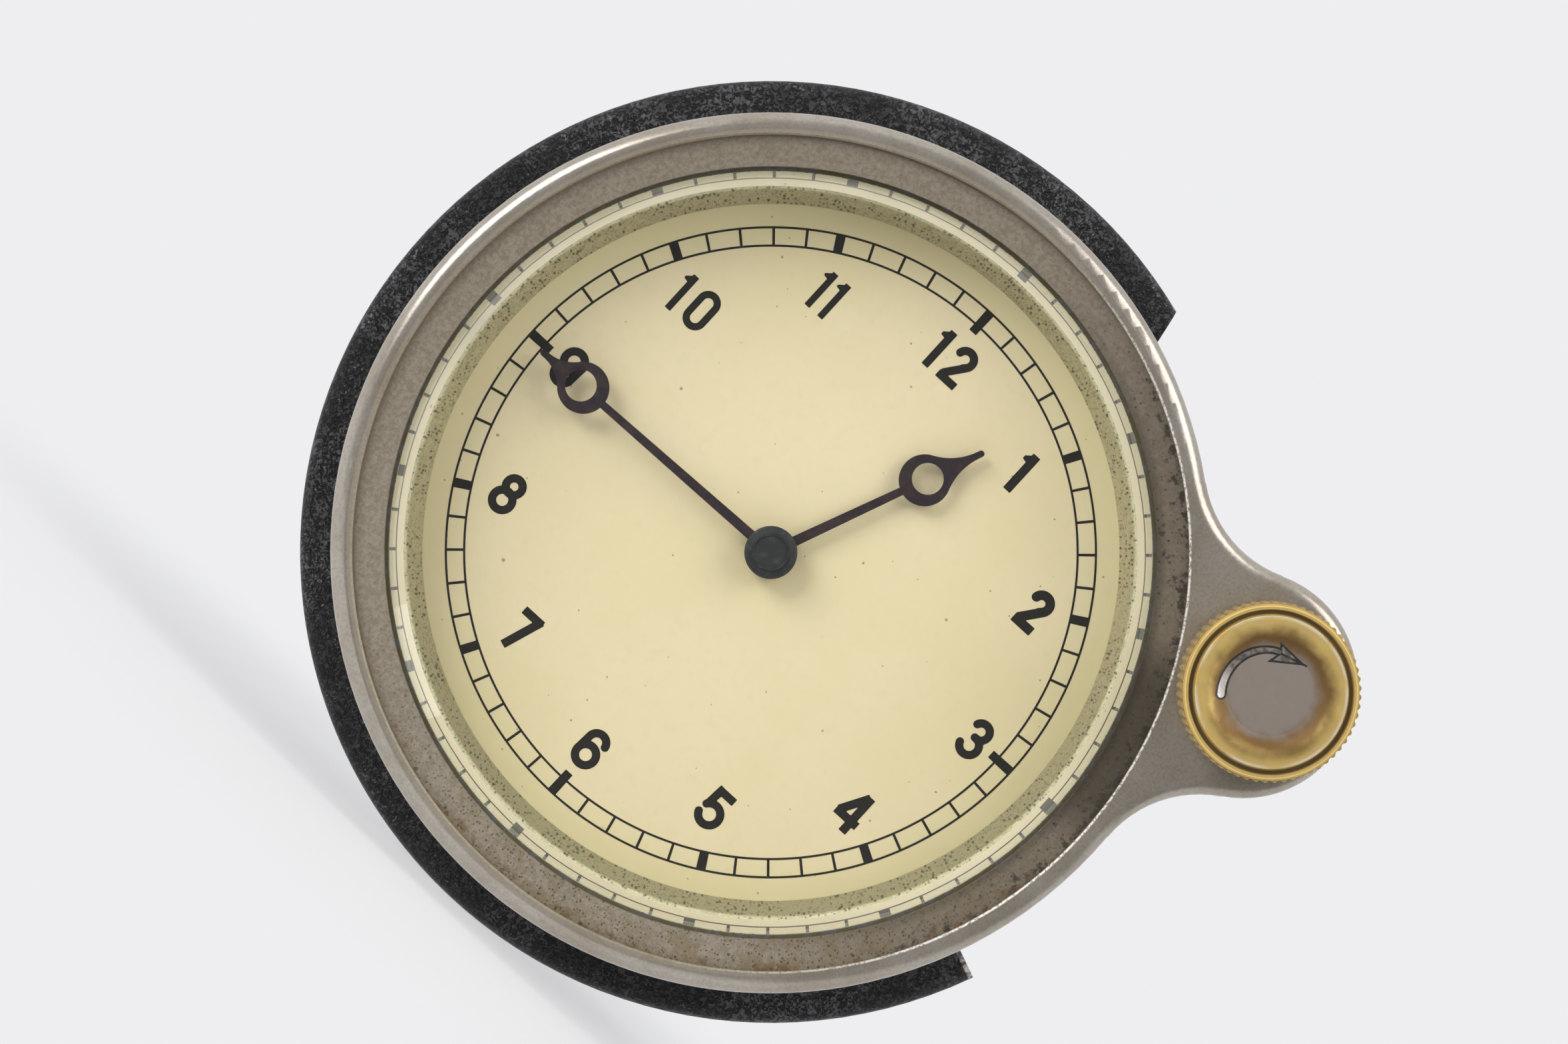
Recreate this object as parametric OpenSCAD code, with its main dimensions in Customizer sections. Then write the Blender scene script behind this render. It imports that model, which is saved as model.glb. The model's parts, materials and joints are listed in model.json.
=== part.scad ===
// Hand-wound car dashboard clock with a winding and setting knob on an ear of its bezel.
// Shapes are drawn in clock coordinates: x to 3 o'clock, y to 12 o'clock, z towards the viewer, with z = 0 at
// the panel seat behind the flange. upright() stands the clock up: the dial faces -Y and 12 o'clock is +Z.

/* [Bezel and ear] */
// Outer diameter of the bezel ring
bezel_d = 90; // [88:0.5:94]
// Diameter of the sight opening
sight_d = 79; // [78.4:0.1:79.4]
// Width of the raised bead around the bezel
bead_w = 2.35; // [1.8:0.05:2.8]
// Wall of the bezel skirt and of the ear
bezel_wall = 2; // [1.7:0.1:2.3]
// Rounding of the outer front edge of bezel and ear
edge_r = 1.5; // [0.8:0.1:1.8]
// Chamfer of the bead's inner edge
bead_edge = 0.2; // [0.1:0.05:0.4]
// Step down from the bead to the band inside it
band_drop = 0.6; // [0.3:0.1:1]
// Fall of the band from the bead to the sight opening
band_fall = 0.5; // [0.2:0.1:0.8]
// Thickness of the lip over the glass
lip_t = 1.2; // [0.8:0.1:1.6]
// Direction of the ear, counted from 3 o'clock towards 12 o'clock
ear_angle = 27; // [22:1:32]
// Distance from the clock's axis to the centre of the ear's round end
ear_reach = 50.1; // [49:0.1:52]
// Radius of the ear's round end
ear_r = 11.7; // [11.2:0.1:13]
// Radius of the hollow fillets between ear and ring
ear_fillet = 12.2; // [9:0.1:15]
// Thickness of the plate that closes the ear behind
ear_base_t = 0.7; // [0.5:0.1:0.8]

/* [Case] */
// Outer diameter of the panel flange
flange_d = 99; // [97:0.5:104]
// Thickness of the panel flange
flange_t = 2.5; // [1.5:0.1:3]
// Rounding of the flange's outer front edge
flange_edge_r = 1.4; // [0.6:0.1:1.4]
// Direction of the flange's square-cut end
gap_start = -22.1; // [-30:0.1:-18]
// Direction of the flange's slanted end, at the bezel's edge
gap_end = 70.2; // [66:0.1:80]
// Angle of the slanted end away from the radius
gap_slant = 30; // [0:1:40]
// Outer diameter of the case barrel
can_d = 83; // [82.6:0.1:84]
// Wall of the case barrel
can_wall = 1.2; // [0.8:0.1:1.4]
// Depth of the case behind the panel seat
can_depth = 25; // [23:0.5:40]
// Thickness of the rear cover
cover_t = 1; // [0.8:0.1:2]
// Depth of the rear cover's spigot inside the case
cover_spigot = 3; // [2:0.5:4]
// Diameter of the rear fixing studs
stud_d = 4; // [3:0.5:5]
// Distance between the rear fixing studs
stud_spacing = 60; // [56:1:64]
// Length of the studs behind the rear cover
stud_out = 15; // [10:1:25]

/* [Glass and dial] */
// Thickness of the bevelled glass
glass_t = 5; // [4.6:0.1:5.6]
// Diameter of the glass
glass_d = 80; // [79.6:0.1:80.4]
// Diameter at which the bevel starts
bevel_d = 74.8; // [74.4:0.2:75.4]
// Slope of the bevel
bevel_angle = 60; // [55:1:61]
// Distance from the dial to the back of the glass
dial_room = 6.4; // [6:0.1:9]
// Diameter of the dial
dial_d = 85.2; // [84.6:0.1:85.4]
// Thickness of the dial
dial_t = 0.4; // [0.3:0.1:0.8]
// Inner diameter of the reflector ring at the dial
reflector_foot_d = 72.4; // [71:0.1:74]
// Inner diameter of the reflector ring at the glass
reflector_top_d = 76.4; // [75:0.1:77.4]
// Width of the gasket that shows between the glass and the sight opening
gasket_show = 0.35; // [0.2:0.05:0.5]
// Sheet thickness of the reflector ring
reflector_wall = 0.8; // [0.5:0.1:1]

/* [Hands] */
// Minute hand, clockwise from 12 o'clock
minute_at = 268.8; // [0:0.1:360]
// Hour hand, clockwise from 12 o'clock
hour_at = 22.4; // [0:0.1:360]
// Length of the minute hand
minute_len = 31.6; // [30:0.1:34]
// Distance of the minute hand's ring from the axis
minute_ring_at = 25.8; // [24:0.1:27]
// Length of the hour hand
hour_len = 24.4; // [23:0.1:27]
// Distance of the hour hand's ring from the axis
hour_ring_at = 17.6; // [16:0.1:19]
// Radius of the rings on the hands
ring_r = 2.7; // [2.2:0.1:3]
// Radius of the hole in the rings
ring_hole_r = 1.65; // [1.2:0.05:1.9]
// Width of the hands at the rings
hand_w = 0.8; // [0.6:0.05:1.2]
// Width of the hands at their hubs
hand_root_w = 1.1; // [0.8:0.05:1.6]
// Thickness of the hands
hand_t = 0.4; // [0.3:0.05:0.6]
// Radius of the dark boss over the hands
boss_r = 2.75; // [2.4:0.05:3.2]

/* [Knob] */
// Diameter over the knurl
knob_d = 18.3; // [17:0.1:20]
// Height of the knob
knob_h = 7; // [6:0.1:9]
// Number of knurl ridges
knurl_n = 60; // [48:4:90]
// Depth of the knurl
knurl_depth = 0.25; // [0.15:0.05:0.5]
// Width of the rim between the knurl and the groove
rim_w = 0.55; // [0.4:0.05:0.8]
// Width of the dark groove inside the knurled rim
groove_w = 0.6; // [0.4:0.05:0.8]
// Depth of that groove
groove_depth = 1; // [0.5:0.1:2]
// Radius of the flat in the middle of the knob
knob_flat_r = 4; // [3.4:0.1:4.8]
// Height of the raised ring around that flat
knob_ring_h = 0.6; // [0.3:0.1:0.8]
// Distance of the knob's axis from the clock's axis
knob_reach = 52.2; // [51.6:0.1:53]
// Travel of the knob from winding to setting
pull_travel = 1.5; // [1.2:0.1:2.5]
// Diameter of the knob's shaft in its sleeve
shaft_d = 3; // [2.4:0.1:3.2]

/* [Wheels] */
// Thickness of the wheels
wheel_t = 0.8; // [0.6:0.1:1]
// Tooth module of the winding and setting wheels
wind_mod = 0.6; // [0.58:0.01:0.61]
// Teeth of the winding and setting pinions at the knob
knob_teeth = 14; // [14:1:15]
// Teeth of the two idlers
idler_teeth = 40; // [38:1:41]
// Teeth of the ratchet wheel
ratchet_teeth = 34; // [32:1:35]
// Teeth of the setting wheel
setting_teeth = 28; // [28:1:29]
// Teeth of the pinion under the setting wheel
setting_pinion_teeth = 26; // [26:1:28]
// Tooth module of the cannon pinion and minute wheel
motion_mod = 0.35; // [0.34:0.005:0.36]

/* [Movement] */
// Rise of the front plate's face above the panel seat
plate_rise = 0.4; // [0.2:0.1:0.6]
// Thickness of the movement plates
plate_t = 1.4; // [1:0.1:1.6]
// Room between the plates
plate_gap = 12; // [12:0.1:14]
// Diameter of the back plate
back_plate_d = 72; // [71:0.5:73]
// Height of the casing ring that carries the movement
ring_h = 4; // [3:0.5:8]
// Radial width of the casing ring
ring_w = 3.2; // [3:0.1:3.6]
// Distance of the pillars from the axis
pillar_at = 33; // [32.5:0.1:33.5]
// Radius of the pillars
pillar_r = 2; // [1.6:0.1:2.2]
// Tooth module of the mainspring barrel and the centre pinion
barrel_mod = 0.5; // [0.49:0.005:0.505]
// Height of the mainspring barrel
barrel_h = 7.8; // [7:0.1:7.8]
// Radius of the balance wheel
balance_r = 9; // [8:0.1:9.4]

/* [Fits] */
// Radial clearance of running fits
run_clear = 0.05; // [0.03:0.01:0.08]
// Clearance between faces that run on each other
face_clear = 0.05; // [0.03:0.01:0.1]
// Radial clearance of pieces that seat in each other
seat_clear = 0.1; // [0.05:0.01:0.2]
// Clearance between moving wheels and their neighbours
free_clear = 0.3; // [0.2:0.05:0.5]

/* [Hidden] */
$fn = 48;
eps = 0.01;

// Colours as the photograph shows them
nickel = [0.55, 0.51, 0.47];
black_paint = [0.08, 0.08, 0.09];
brass = [0.74, 0.59, 0.27];
steel = [0.6, 0.6, 0.62];
dark_steel = [0.14, 0.11, 0.13];
cream = [0.87, 0.81, 0.65];

// Points on a circle, the angle between two sides of a triangle, and the point at given distances from two
// others, to the left of the line p to q
function polar(r, a) = [r * cos(a), r * sin(a)];
function heading(p, q) = atan2(q[1] - p[1], q[0] - p[0]);
function angle_in(a, b, opposite) = acos((a * a + b * b - opposite * opposite) / (2 * a * b));
function meet(p, q, dp, dq) = p + polar(dp, heading(p, q) + angle_in(dp, norm(q - p), dq));

// Radii of a wheel's teeth in modules, and the distance of two wheels in mesh
addendum = 0.7;
dedendum = 0.95;
function pitch_r(teeth, mod) = teeth * mod / 2;
function tip_r(teeth, mod) = pitch_r(teeth, mod) + addendum * mod;
function root_r(teeth, mod) = pitch_r(teeth, mod) - dedendum * mod;
function mesh_d(teeth1, teeth2, mod) = pitch_r(teeth1, mod) + pitch_r(teeth2, mod);

// Heights along the clock's axis, in front of the plates
hand_lift = 1;
hand_room = 0.6;
stud_seat = 0.2;
motion_room = 0.1;
hour_room = 0.2;
plate_z = plate_rise - plate_t;
wind_z = plate_rise + free_clear + stud_seat;
clutch_z = wind_z + wheel_t + face_clear;
clutch_t = 0.8;
set_z = clutch_z + clutch_t + pull_travel + face_clear;
motion_z = wind_z + wheel_t + free_clear + motion_room;
hour_z = motion_z + wheel_t + hour_room;
dial_z = set_z + wheel_t + free_clear;
dial_top = dial_z + dial_t;
hour_hand_z = dial_top + hand_lift;
minute_hand_z = hour_hand_z + hand_t + hand_room;
cap_z = minute_hand_z + hand_t;
cap_h = 0.9;
cap_ring_r = 1.9;
cap_face = 0.75;
cap_web = 0.35;
glass_z = dial_top + dial_room;
front_z = glass_z + glass_t;
lip_z = front_z - band_drop - band_fall - lip_t;
ear_z = ear_base_t;

// Heights behind the front plate, and the room between one wheel and the next
barrel_room = 0.5;
centre_room = 0.9;
third_room = 0.7;
fourth_room = 2.4;
escape_room = 0.8;
balance_drop = 2.2;
spring_drop = 1.6;
cock_drop = 2.2;
barrel_z = plate_z - barrel_room - barrel_h;
barrel_rim = 1.2;
drum_wall = 0.8;
drum_top = barrel_z + barrel_h;
centre_z = barrel_z - centre_room - wheel_t;
third_z = barrel_z + barrel_rim + third_room;
fourth_z = third_z + wheel_t + fourth_room;
back_z = plate_z - plate_gap - plate_t;
escape_z = plate_z - plate_gap + escape_room;
balance_z = back_z - balance_drop;
balance_t = 1;
spring_z = balance_z - spring_drop;
spring_t = 0.4;
cock_z = spring_z - cock_drop;
cock_t = 1.2;
cover_z = -can_depth;

// Radii of the casing
bezel_r = bezel_d / 2;
bezel_in = bezel_r - bezel_wall;
can_r = can_d / 2;
can_in = can_r - can_wall;
collar_r = bezel_in - seat_clear;
collar_w = 1.9;
plate_r = can_in - seat_clear;
ear = polar(ear_reach, ear_angle);
knob_axis = polar(knob_reach, ear_angle);
// The round end grows where the pinions on the knob's axis would not fit inside it
ear_end_r = max(ear_r, norm(knob_axis - ear) + tip_r(knob_teeth, wind_mod) + free_clear + bezel_wall);
fillet_d = bezel_r + ear_fillet;
fillet_swing = angle_in(ear_reach, fillet_d, ear_end_r + ear_fillet);
fillets = [for (side = [-1, 1]) polar(fillet_d, ear_angle + side * fillet_swing)];
// The fillets stop this far short of touching the ring and the round end, so that faces meet at a clear edge
fillet_lap = 0.04;

// Places of the arbors
// The idlers and the setting wheel gain teeth where the knob lies further out than they would reach
centre = [0, 0];
barrel_teeth = 64;
centre_leaves = 12;
reach_spare = 0.2;
barrel_d = mesh_d(barrel_teeth, centre_leaves, barrel_mod);
idler_n = max(idler_teeth,
    ceil((knob_reach - barrel_d + reach_spare) / wind_mod - (knob_teeth + ratchet_teeth) / 2));
idler_at = knob_reach - mesh_d(idler_n, knob_teeth, wind_mod);
idler = polar(idler_at, ear_angle);
barrel_axis = meet(idler, centre, mesh_d(idler_n, ratchet_teeth, wind_mod), barrel_d);
cannon_teeth = 12;
minute_teeth = 36;
minute_leaves = 10;
hour_teeth = 40;
minute_at_angle = 75;
minute_d = mesh_d(cannon_teeth, minute_teeth, motion_mod);
minute_axis = polar(minute_d, minute_at_angle);
hour_mod = 2 * minute_d / (minute_leaves + hour_teeth);
under_d = mesh_d(minute_teeth, setting_pinion_teeth, motion_mod);
setting_n = max(setting_teeth,
    ceil(2 * (norm(idler - minute_axis) - under_d + reach_spare) / wind_mod - idler_n));
setting_axis = meet(minute_axis, idler, under_d, mesh_d(idler_n, setting_n, wind_mod));
centre_teeth = 64;
centre_mod = 0.4;
third_leaves = 8;
third_teeth = 60;
third_mod = 0.35;
fourth_leaves = 8;
fourth_teeth = 70;
fourth_mod = 0.3;
escape_leaves = 7;
escape_teeth = 15;
third_axis = polar(mesh_d(centre_teeth, third_leaves, centre_mod), 190);
fourth_axis = third_axis + polar(mesh_d(third_teeth, fourth_leaves, third_mod), 100);
escape_axis = fourth_axis + polar(mesh_d(fourth_teeth, escape_leaves, fourth_mod), 60);
// Leaves of a pinion that stand past the wheel they meet, on either side
leaf_over = 0.2;
escape_r = 4.2;
lever_d = 6.6;
lever_axis = escape_axis + polar(lever_d, 20);
fork_d = 9;
balance_axis = lever_axis + polar(fork_d, 3);
click_d = pitch_r(ratchet_teeth, wind_mod) + 4.6;
click_axis = barrel_axis + polar(click_d, -75);
click_r = 1.9;
click_post_r = 1;
click_post = click_axis + polar(6, heading(barrel_axis, click_axis) + 75);
foot_block_r = 3;
cock_foot = balance_axis + polar(balance_r + foot_block_r + 1.5, -20);
drum_r = pitch_r(barrel_teeth, barrel_mod) - 1.4;

// Radii of arbors, studs and screws
stud_r = stud_d / 2;
stud_step = 0.25;
stud_root_r = stud_r + stud_step;
nut_h = 0.6 * stud_d;
nut_z = cover_z - cover_t - nut_h;
stud_places = [for (side = [-1, 1]) [side * stud_spacing / 2, 0]];
arbor_r = 0.6;
pivot_r = 0.4;
idler_stud_r = 1.5;
idler_shoulder = 1;
wheel_stud_r = 0.8;
stud_shoulder = 0.6;
stud_end = 0.2;
barrel_arbor_r = 2.5;
barrel_pivot_r = 1.25;
ratchet_seat_r = 1.8;
centre_arbor_r = 1.2;
centre_post_r = 1;
cannon_r = 1.5;
pipe_wall = 0.45;
pipe_r = cannon_r + run_clear + pipe_wall;
shaft_r = shaft_d / 2;
shaft_step = 0.5;
sleeve_wall = 0.95;
bush_wall = 1.65;
nose_wall = 0.9;
bush_web = 0.7;
bush_rise = 0.3;
knob_gap = 0.6;
knob_web = 3;
shaft_root_r = shaft_r + shaft_step;
sleeve_r = shaft_r + run_clear + sleeve_wall;
bush_r = sleeve_r + run_clear + bush_wall;
nose_r = shaft_root_r + seat_clear + nose_wall;
shoulder_z = set_z + wheel_t + bush_web;
bush_step = shoulder_z - free_clear;
bush_top = front_z + bush_rise;
knob_z = front_z + knob_gap;
shaft_top = knob_h - knob_web;
screw_r = 0.75;
screw_head_r = 1.3;
screw_head_h = 0.7;
slot_w = 0.3;
collet_r = 1.2;
spring_in = collet_r + seat_clear;
spring_out = 5.6;
spring_strip = 0.2;
spring_turns = 6;

// Where the screws sit
bezel_screw_angles = [-15.4, 104.6, 224.6];
bezel_screw_z = flange_t + screw_head_r + 0.2;
casing_screw_angles = [100, 200, 320];
casing_screw_at = can_in - ring_w / 2;
pillar_angles = [42, 132, 222, 312];
pillar_thread = 3;
pillar_spigot_r = pillar_r / 2;
plate_screw_places = [for (a = pillar_angles) polar(pillar_at, a)];
foot_angles = [160, 235, 300];
foot_at = 31;
foot_r = 1.2;
// Half angle of the window in the case's rim, through which the idlers reach the knob's pinions
window = angle_in(idler_at, can_in, tip_r(idler_n, wind_mod) + free_clear);
boss_h_r = 1.6;
boss_gap = 0.4;
ear_thread = 4;
ear_bosses = [for (side = [-1, 1])
    ear + polar(ear_end_r - bezel_wall - boss_h_r - boss_gap, ear_angle + side * 90)];

// Phase that puts wheel 2's teeth into the gaps of wheel 1; a phase is the direction of one tooth
function mesh(n1, phase1, p1, n2, p2) =
    let (d = heading(p1, p2))
    d + 180 + 360 / n2 * (0.5 - (phase1 - d) * n1 / 360);

winding_phase = ear_angle;
idler_phase = mesh(knob_teeth, winding_phase, knob_axis, idler_n, idler);
ratchet_phase = mesh(idler_n, idler_phase, idler, ratchet_teeth, barrel_axis);
cannon_phase = 0;
minute_phase = mesh(cannon_teeth, cannon_phase, centre, minute_teeth, minute_axis);
minute_leaf_phase = 0;
hour_phase = mesh(minute_leaves, minute_leaf_phase, minute_axis, hour_teeth, centre);
under_phase = mesh(minute_teeth, minute_phase, minute_axis, setting_pinion_teeth, setting_axis);
setting_phase = 0;
set_idler_phase = mesh(setting_n, setting_phase, setting_axis, idler_n, idler);
set_pinion_phase = mesh(idler_n, set_idler_phase, idler, knob_teeth, knob_axis);
barrel_phase = 0;
centre_leaf_phase = mesh(barrel_teeth, barrel_phase, barrel_axis, centre_leaves, centre);
centre_phase = 0;
third_leaf_phase = mesh(centre_teeth, centre_phase, centre, third_leaves, third_axis);
third_phase = 0;
fourth_leaf_phase = mesh(third_teeth, third_phase, third_axis, fourth_leaves, fourth_axis);
fourth_phase = 0;
escape_leaf_phase = mesh(fourth_teeth, fourth_phase, fourth_axis, escape_leaves, escape_axis);

// Shared shapes

module upright() {
    rotate([90, 0, 0]) children();
}

module at(p, z) {
    translate([p[0], p[1], z]) children();
}

module disc(p, r, z0, z1) {
    at(p, z0) cylinder(r = r, h = z1 - z0);
}

// A ring turned about the clock's axis, from r0 to r1 and z0 to z1
module hoop(r0, r1, z0, z1) {
    rotate_extrude() translate([r0, z0]) square([r1 - r0, z1 - z0]);
}

// Tooth outline: each tooth has a root, a flank and a tip on either side, as shares of the pitch
module gear_2d(teeth, mod, phase) {
    half = [-0.3, -0.21, -0.11, 0.11, 0.21, 0.3];
    radius = [root_r(teeth, mod), pitch_r(teeth, mod), tip_r(teeth, mod)];
    polygon([for (i = [0 : teeth - 1], k = [0 : 5])
        polar(radius[min(k, 5 - k)], phase + 360 / teeth * (i + half[k]))]);
}

module pinion(p, teeth, mod, phase, z0, z1) {
    at(p, z0) linear_extrude(z1 - z0) gear_2d(teeth, mod, phase);
}

// A wheel with a bore and crossed-out spokes
module spoked(p, teeth, mod, phase, z, thick, bore, spokes = 4, hub = 2.2, rim = 1.2,
        spoke_w = 1.3) {
    inner = root_r(teeth, mod) - rim;
    at(p, z) linear_extrude(thick) difference() {
        gear_2d(teeth, mod, phase);
        difference() {
            circle(inner);
            circle(hub);
            for (i = [0 : spokes - 1])
                rotate(360 / spokes * i + 45) translate([0, -spoke_w / 2])
                    square([inner + rim / 2, spoke_w]);
        }
        circle(bore);
    }
}

// An arbor with a pivot at each end, running in both plates
module arbor(p, r) {
    disc(p, r, plate_z - plate_gap + face_clear, plate_z - face_clear);
    disc(p, pivot_r, plate_z - plate_gap - plate_t, plate_z + plate_t);
}

module screw(length, shank, head, head_h) {
    translate([0, 0, -length]) cylinder(r = shank, h = length + eps);
    difference() {
        cylinder(r = head, h = head_h);
        translate([-head, -slot_w / 2, head_h * 0.55]) cube([2 * head, slot_w, head_h]);
    }
}

// Casing

// Profile of a turned plate with a rounded outer front edge
module rounded_profile(r, z0, z1, e) {
    translate([0, z0]) square([r, z1 - e - z0]);
    translate([0, z0]) square([r - e, z1 - z0]);
    translate([r - e, z1 - e]) circle(e);
}

// Profile that cuts a hollow fillet and rounds the edge along it
module fillet_profile(r, z0, z1, e) {
    translate([0, z0]) square([r, z1 + 1 - z0]);
    difference() {
        translate([0, z1 - e]) square([r + e, e + 1]);
        translate([r + e, z1 - e]) circle(e);
    }
}

// The bezel's outline, moved inwards by inset
module outline_2d(inset) {
    circle(bezel_r - inset);
    ear_2d(inset);
}

module ear_2d(inset) {
    translate(ear) circle(ear_end_r - inset);
    difference() {
        polygon([centre, fillets[0], ear, fillets[1]]);
        for (f = fillets) translate(f) circle(ear_fillet + inset - fillet_lap);
    }
}

module bezel_blank() {
    rotate_extrude() rounded_profile(bezel_r, flange_t, front_z, edge_r);
    translate(ear) rotate_extrude() rounded_profile(ear_end_r, ear_z, front_z, edge_r);
    difference() {
        translate([0, 0, ear_z]) linear_extrude(front_z - ear_z)
            polygon([centre, fillets[0], ear, fillets[1]]);
        for (f = fillets) translate(f) rotate_extrude()
            fillet_profile(ear_fillet - fillet_lap, ear_z - 1, front_z, edge_r);
    }
}

module bezel() {
    step_r = bezel_r - bead_w;
    color(nickel) upright() difference() {
        union() {
            difference() {
                bezel_blank();
                translate([0, 0, -1]) linear_extrude(lip_z + 1) outline_2d(bezel_wall);
            }
            for (b = ear_bosses) disc(b, boss_h_r, ear_z, lip_z + eps);
        }
        // The band falls from the bead to the sight opening
        rotate_extrude() polygon([
            [0, front_z - band_drop - band_fall], [sight_d / 2, front_z - band_drop - band_fall],
            [step_r, front_z - band_drop], [step_r, front_z - bead_edge], [step_r + bead_edge, front_z],
            [step_r + bead_edge, front_z + 1], [0, front_z + 1]]);
        disc(centre, sight_d / 2, lip_z - 1, front_z);
        disc(knob_axis, bush_r, lip_z - 1, front_z + 1);
        for (b = ear_bosses) disc(b, screw_r, ear_z - 1, ear_z + ear_thread + 1);
        for (a = bezel_screw_angles)
            rotate(a) translate([bezel_in - 1, 0, bezel_screw_z]) rotate([0, 90, 0])
                cylinder(r = screw_r, h = bezel_wall + 2);
    }
}

// Sector behind the bezel in which the flange is cut away
module gap_2d() {
    corner = polar(bezel_r, gap_end);
    slant = gap_end + gap_slant;
    polygon([polar(bezel_in - 4, gap_start), polar(flange_d, gap_start), polar(2 * flange_d, ear_angle),
        corner + polar(flange_d, slant), corner - polar(bezel_wall + 4, slant)]);
}

module case_can() {
    color(black_paint) upright() difference() {
        union() {
            hoop(can_in, can_r, cover_z, flange_t);
            difference() {
                rotate_extrude() rounded_profile(flange_d / 2, 0, flange_t, flange_edge_r);
                disc(centre, can_in, -1, flange_t + 1);
            }
            hoop(collar_r - collar_w, collar_r, flange_t - eps, dial_z);
        }
        // The flange ends beside the ear, and the wheels pass through the window in the rim
        translate([0, 0, -1]) linear_extrude(flange_t + 2) difference() {
            gap_2d();
            circle(collar_r);
        }
        linear_extrude(dial_z + 1) polygon([
            polar(can_in - 4, ear_angle - window), polar(flange_d / 2, ear_angle - window),
            polar(flange_d / 2, ear_angle + window), polar(can_in - 4, ear_angle + window)]);
        for (a = bezel_screw_angles)
            rotate(a) translate([collar_r - collar_w - 1, 0, bezel_screw_z]) rotate([0, 90, 0])
                cylinder(r = screw_r, h = 4);
    }
}

module rear_cover() {
    color(black_paint) upright() difference() {
        union() {
            mirror([0, 0, 1]) rotate_extrude()
                rounded_profile(can_r, -cover_z, -cover_z + cover_t, cover_t / 2);
            hoop(can_in - seat_clear - 1, can_in - seat_clear, cover_z - eps, cover_z + cover_spigot);
        }
        for (p = stud_places) disc(p, stud_root_r + seat_clear, cover_z - cover_t - 1, cover_z + 1);
    }
}

// The root holds the plate, the cover and the nut, and the free end takes a bracket
module rear_studs() {
    color(steel) upright() for (p = stud_places) {
        disc(p, stud_root_r, nut_z, back_z + plate_t);
        disc(p, stud_r, cover_z - cover_t - stud_out, nut_z + eps);
    }
}

module stud_nuts() {
    color(steel) upright() for (p = stud_places) at(p, nut_z) difference() {
        cylinder(r = stud_d, h = nut_h, $fn = 6);
        translate([0, 0, -1]) cylinder(r = stud_root_r, h = nut_h + 2);
    }
}

module casing_ring() {
    color(brass) upright() difference() {
        hoop(can_in - ring_w, can_in, plate_z - ring_h, plate_z);
        for (a = casing_screw_angles)
            disc(polar(casing_screw_at, a), screw_r, plate_z - ring_h - 1, plate_z + 1);
    }
}

module casing_screws() {
    color(steel) upright() for (a = casing_screw_angles) at(polar(casing_screw_at, a), plate_rise)
        screw(plate_t + ring_h - 1, screw_r, screw_head_r, screw_head_h);
}

module bezel_screws() {
    color(dark_steel) upright() for (a = bezel_screw_angles)
        rotate(a) translate([bezel_r, 0, bezel_screw_z]) rotate([0, 90, 0])
            screw(bezel_r - collar_r + collar_w, screw_r, screw_head_r, screw_head_h);
}

module ear_base() {
    color(nickel) upright() difference() {
        union() {
            linear_extrude(ear_base_t) difference() {
                ear_2d(seat_clear);
                circle(bezel_in + seat_clear);
            }
            disc(knob_axis, wheel_stud_r, 0, clutch_z - seat_clear);
        }
        for (b = ear_bosses) at(b, 0) {
            cylinder(r1 = screw_head_r + seat_clear, r2 = screw_r + seat_clear, h = ear_base_t + eps);
            translate([0, 0, -1]) cylinder(r = screw_head_r + seat_clear, h = 1 + eps);
        }
    }
}

module ear_screws() {
    color(steel) upright() for (b = ear_bosses) at(b, 0) {
        cylinder(r1 = screw_head_r, r2 = screw_r, h = ear_base_t);
        cylinder(r = screw_r, h = ear_base_t + ear_thread);
    }
}

module ear_bush() {
    color(brass) upright() at(knob_axis, 0) rotate_extrude() polygon([
        [shaft_root_r + seat_clear, set_z], [nose_r, set_z], [nose_r, set_z + wheel_t + face_clear],
        [bush_r, set_z + wheel_t + face_clear], [bush_r, bush_top], [sleeve_r + run_clear, bush_top],
        [sleeve_r + run_clear, bush_step], [shaft_root_r + seat_clear, bush_step]]);
}

// Glass, dial and hands

function bevel_z(r) = front_z - (r - bevel_d / 2) * tan(bevel_angle);

module glass() {
    color([0.85, 0.9, 0.88, 0.4]) upright() rotate_extrude() polygon([[0, glass_z], [glass_d / 2, glass_z],
        [glass_d / 2, bevel_z(glass_d / 2)], [bevel_d / 2, front_z], [0, front_z]]);
}

module glass_gasket() {
    gap = 0.07;
    rim = glass_d / 2 + seat_clear / 2;
    lap = sight_d / 2 - gasket_show;
    color([0.1, 0.1, 0.1]) upright() rotate_extrude() polygon([[rim, glass_z],
        [rim, bevel_z(glass_d / 2) + gap], [lap, bevel_z(lap) + gap], [lap, lip_z], [collar_r, lip_z],
        [collar_r, glass_z]]);
}

module reflector_ring() {
    foot = reflector_foot_d / 2;
    top = reflector_top_d / 2;
    outer = dial_d / 2;
    color([0.75, 0.72, 0.55]) upright() rotate_extrude() polygon([[foot, dial_top], [outer, dial_top],
        [outer, dial_top + reflector_wall], [foot + reflector_wall, dial_top + reflector_wall],
        [top + reflector_wall, glass_z - reflector_wall], [outer, glass_z - reflector_wall], [outer, glass_z],
        [top, glass_z], [foot, dial_top + reflector_wall / 2]]);
}

module dial() {
    color(cream) upright() hoop(pipe_r + free_clear, dial_d / 2, dial_z, dial_top);
}

module dial_feet() {
    color(brass) upright() for (a = foot_angles) disc(polar(foot_at, a), foot_r, plate_rise, dial_z);
}

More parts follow.
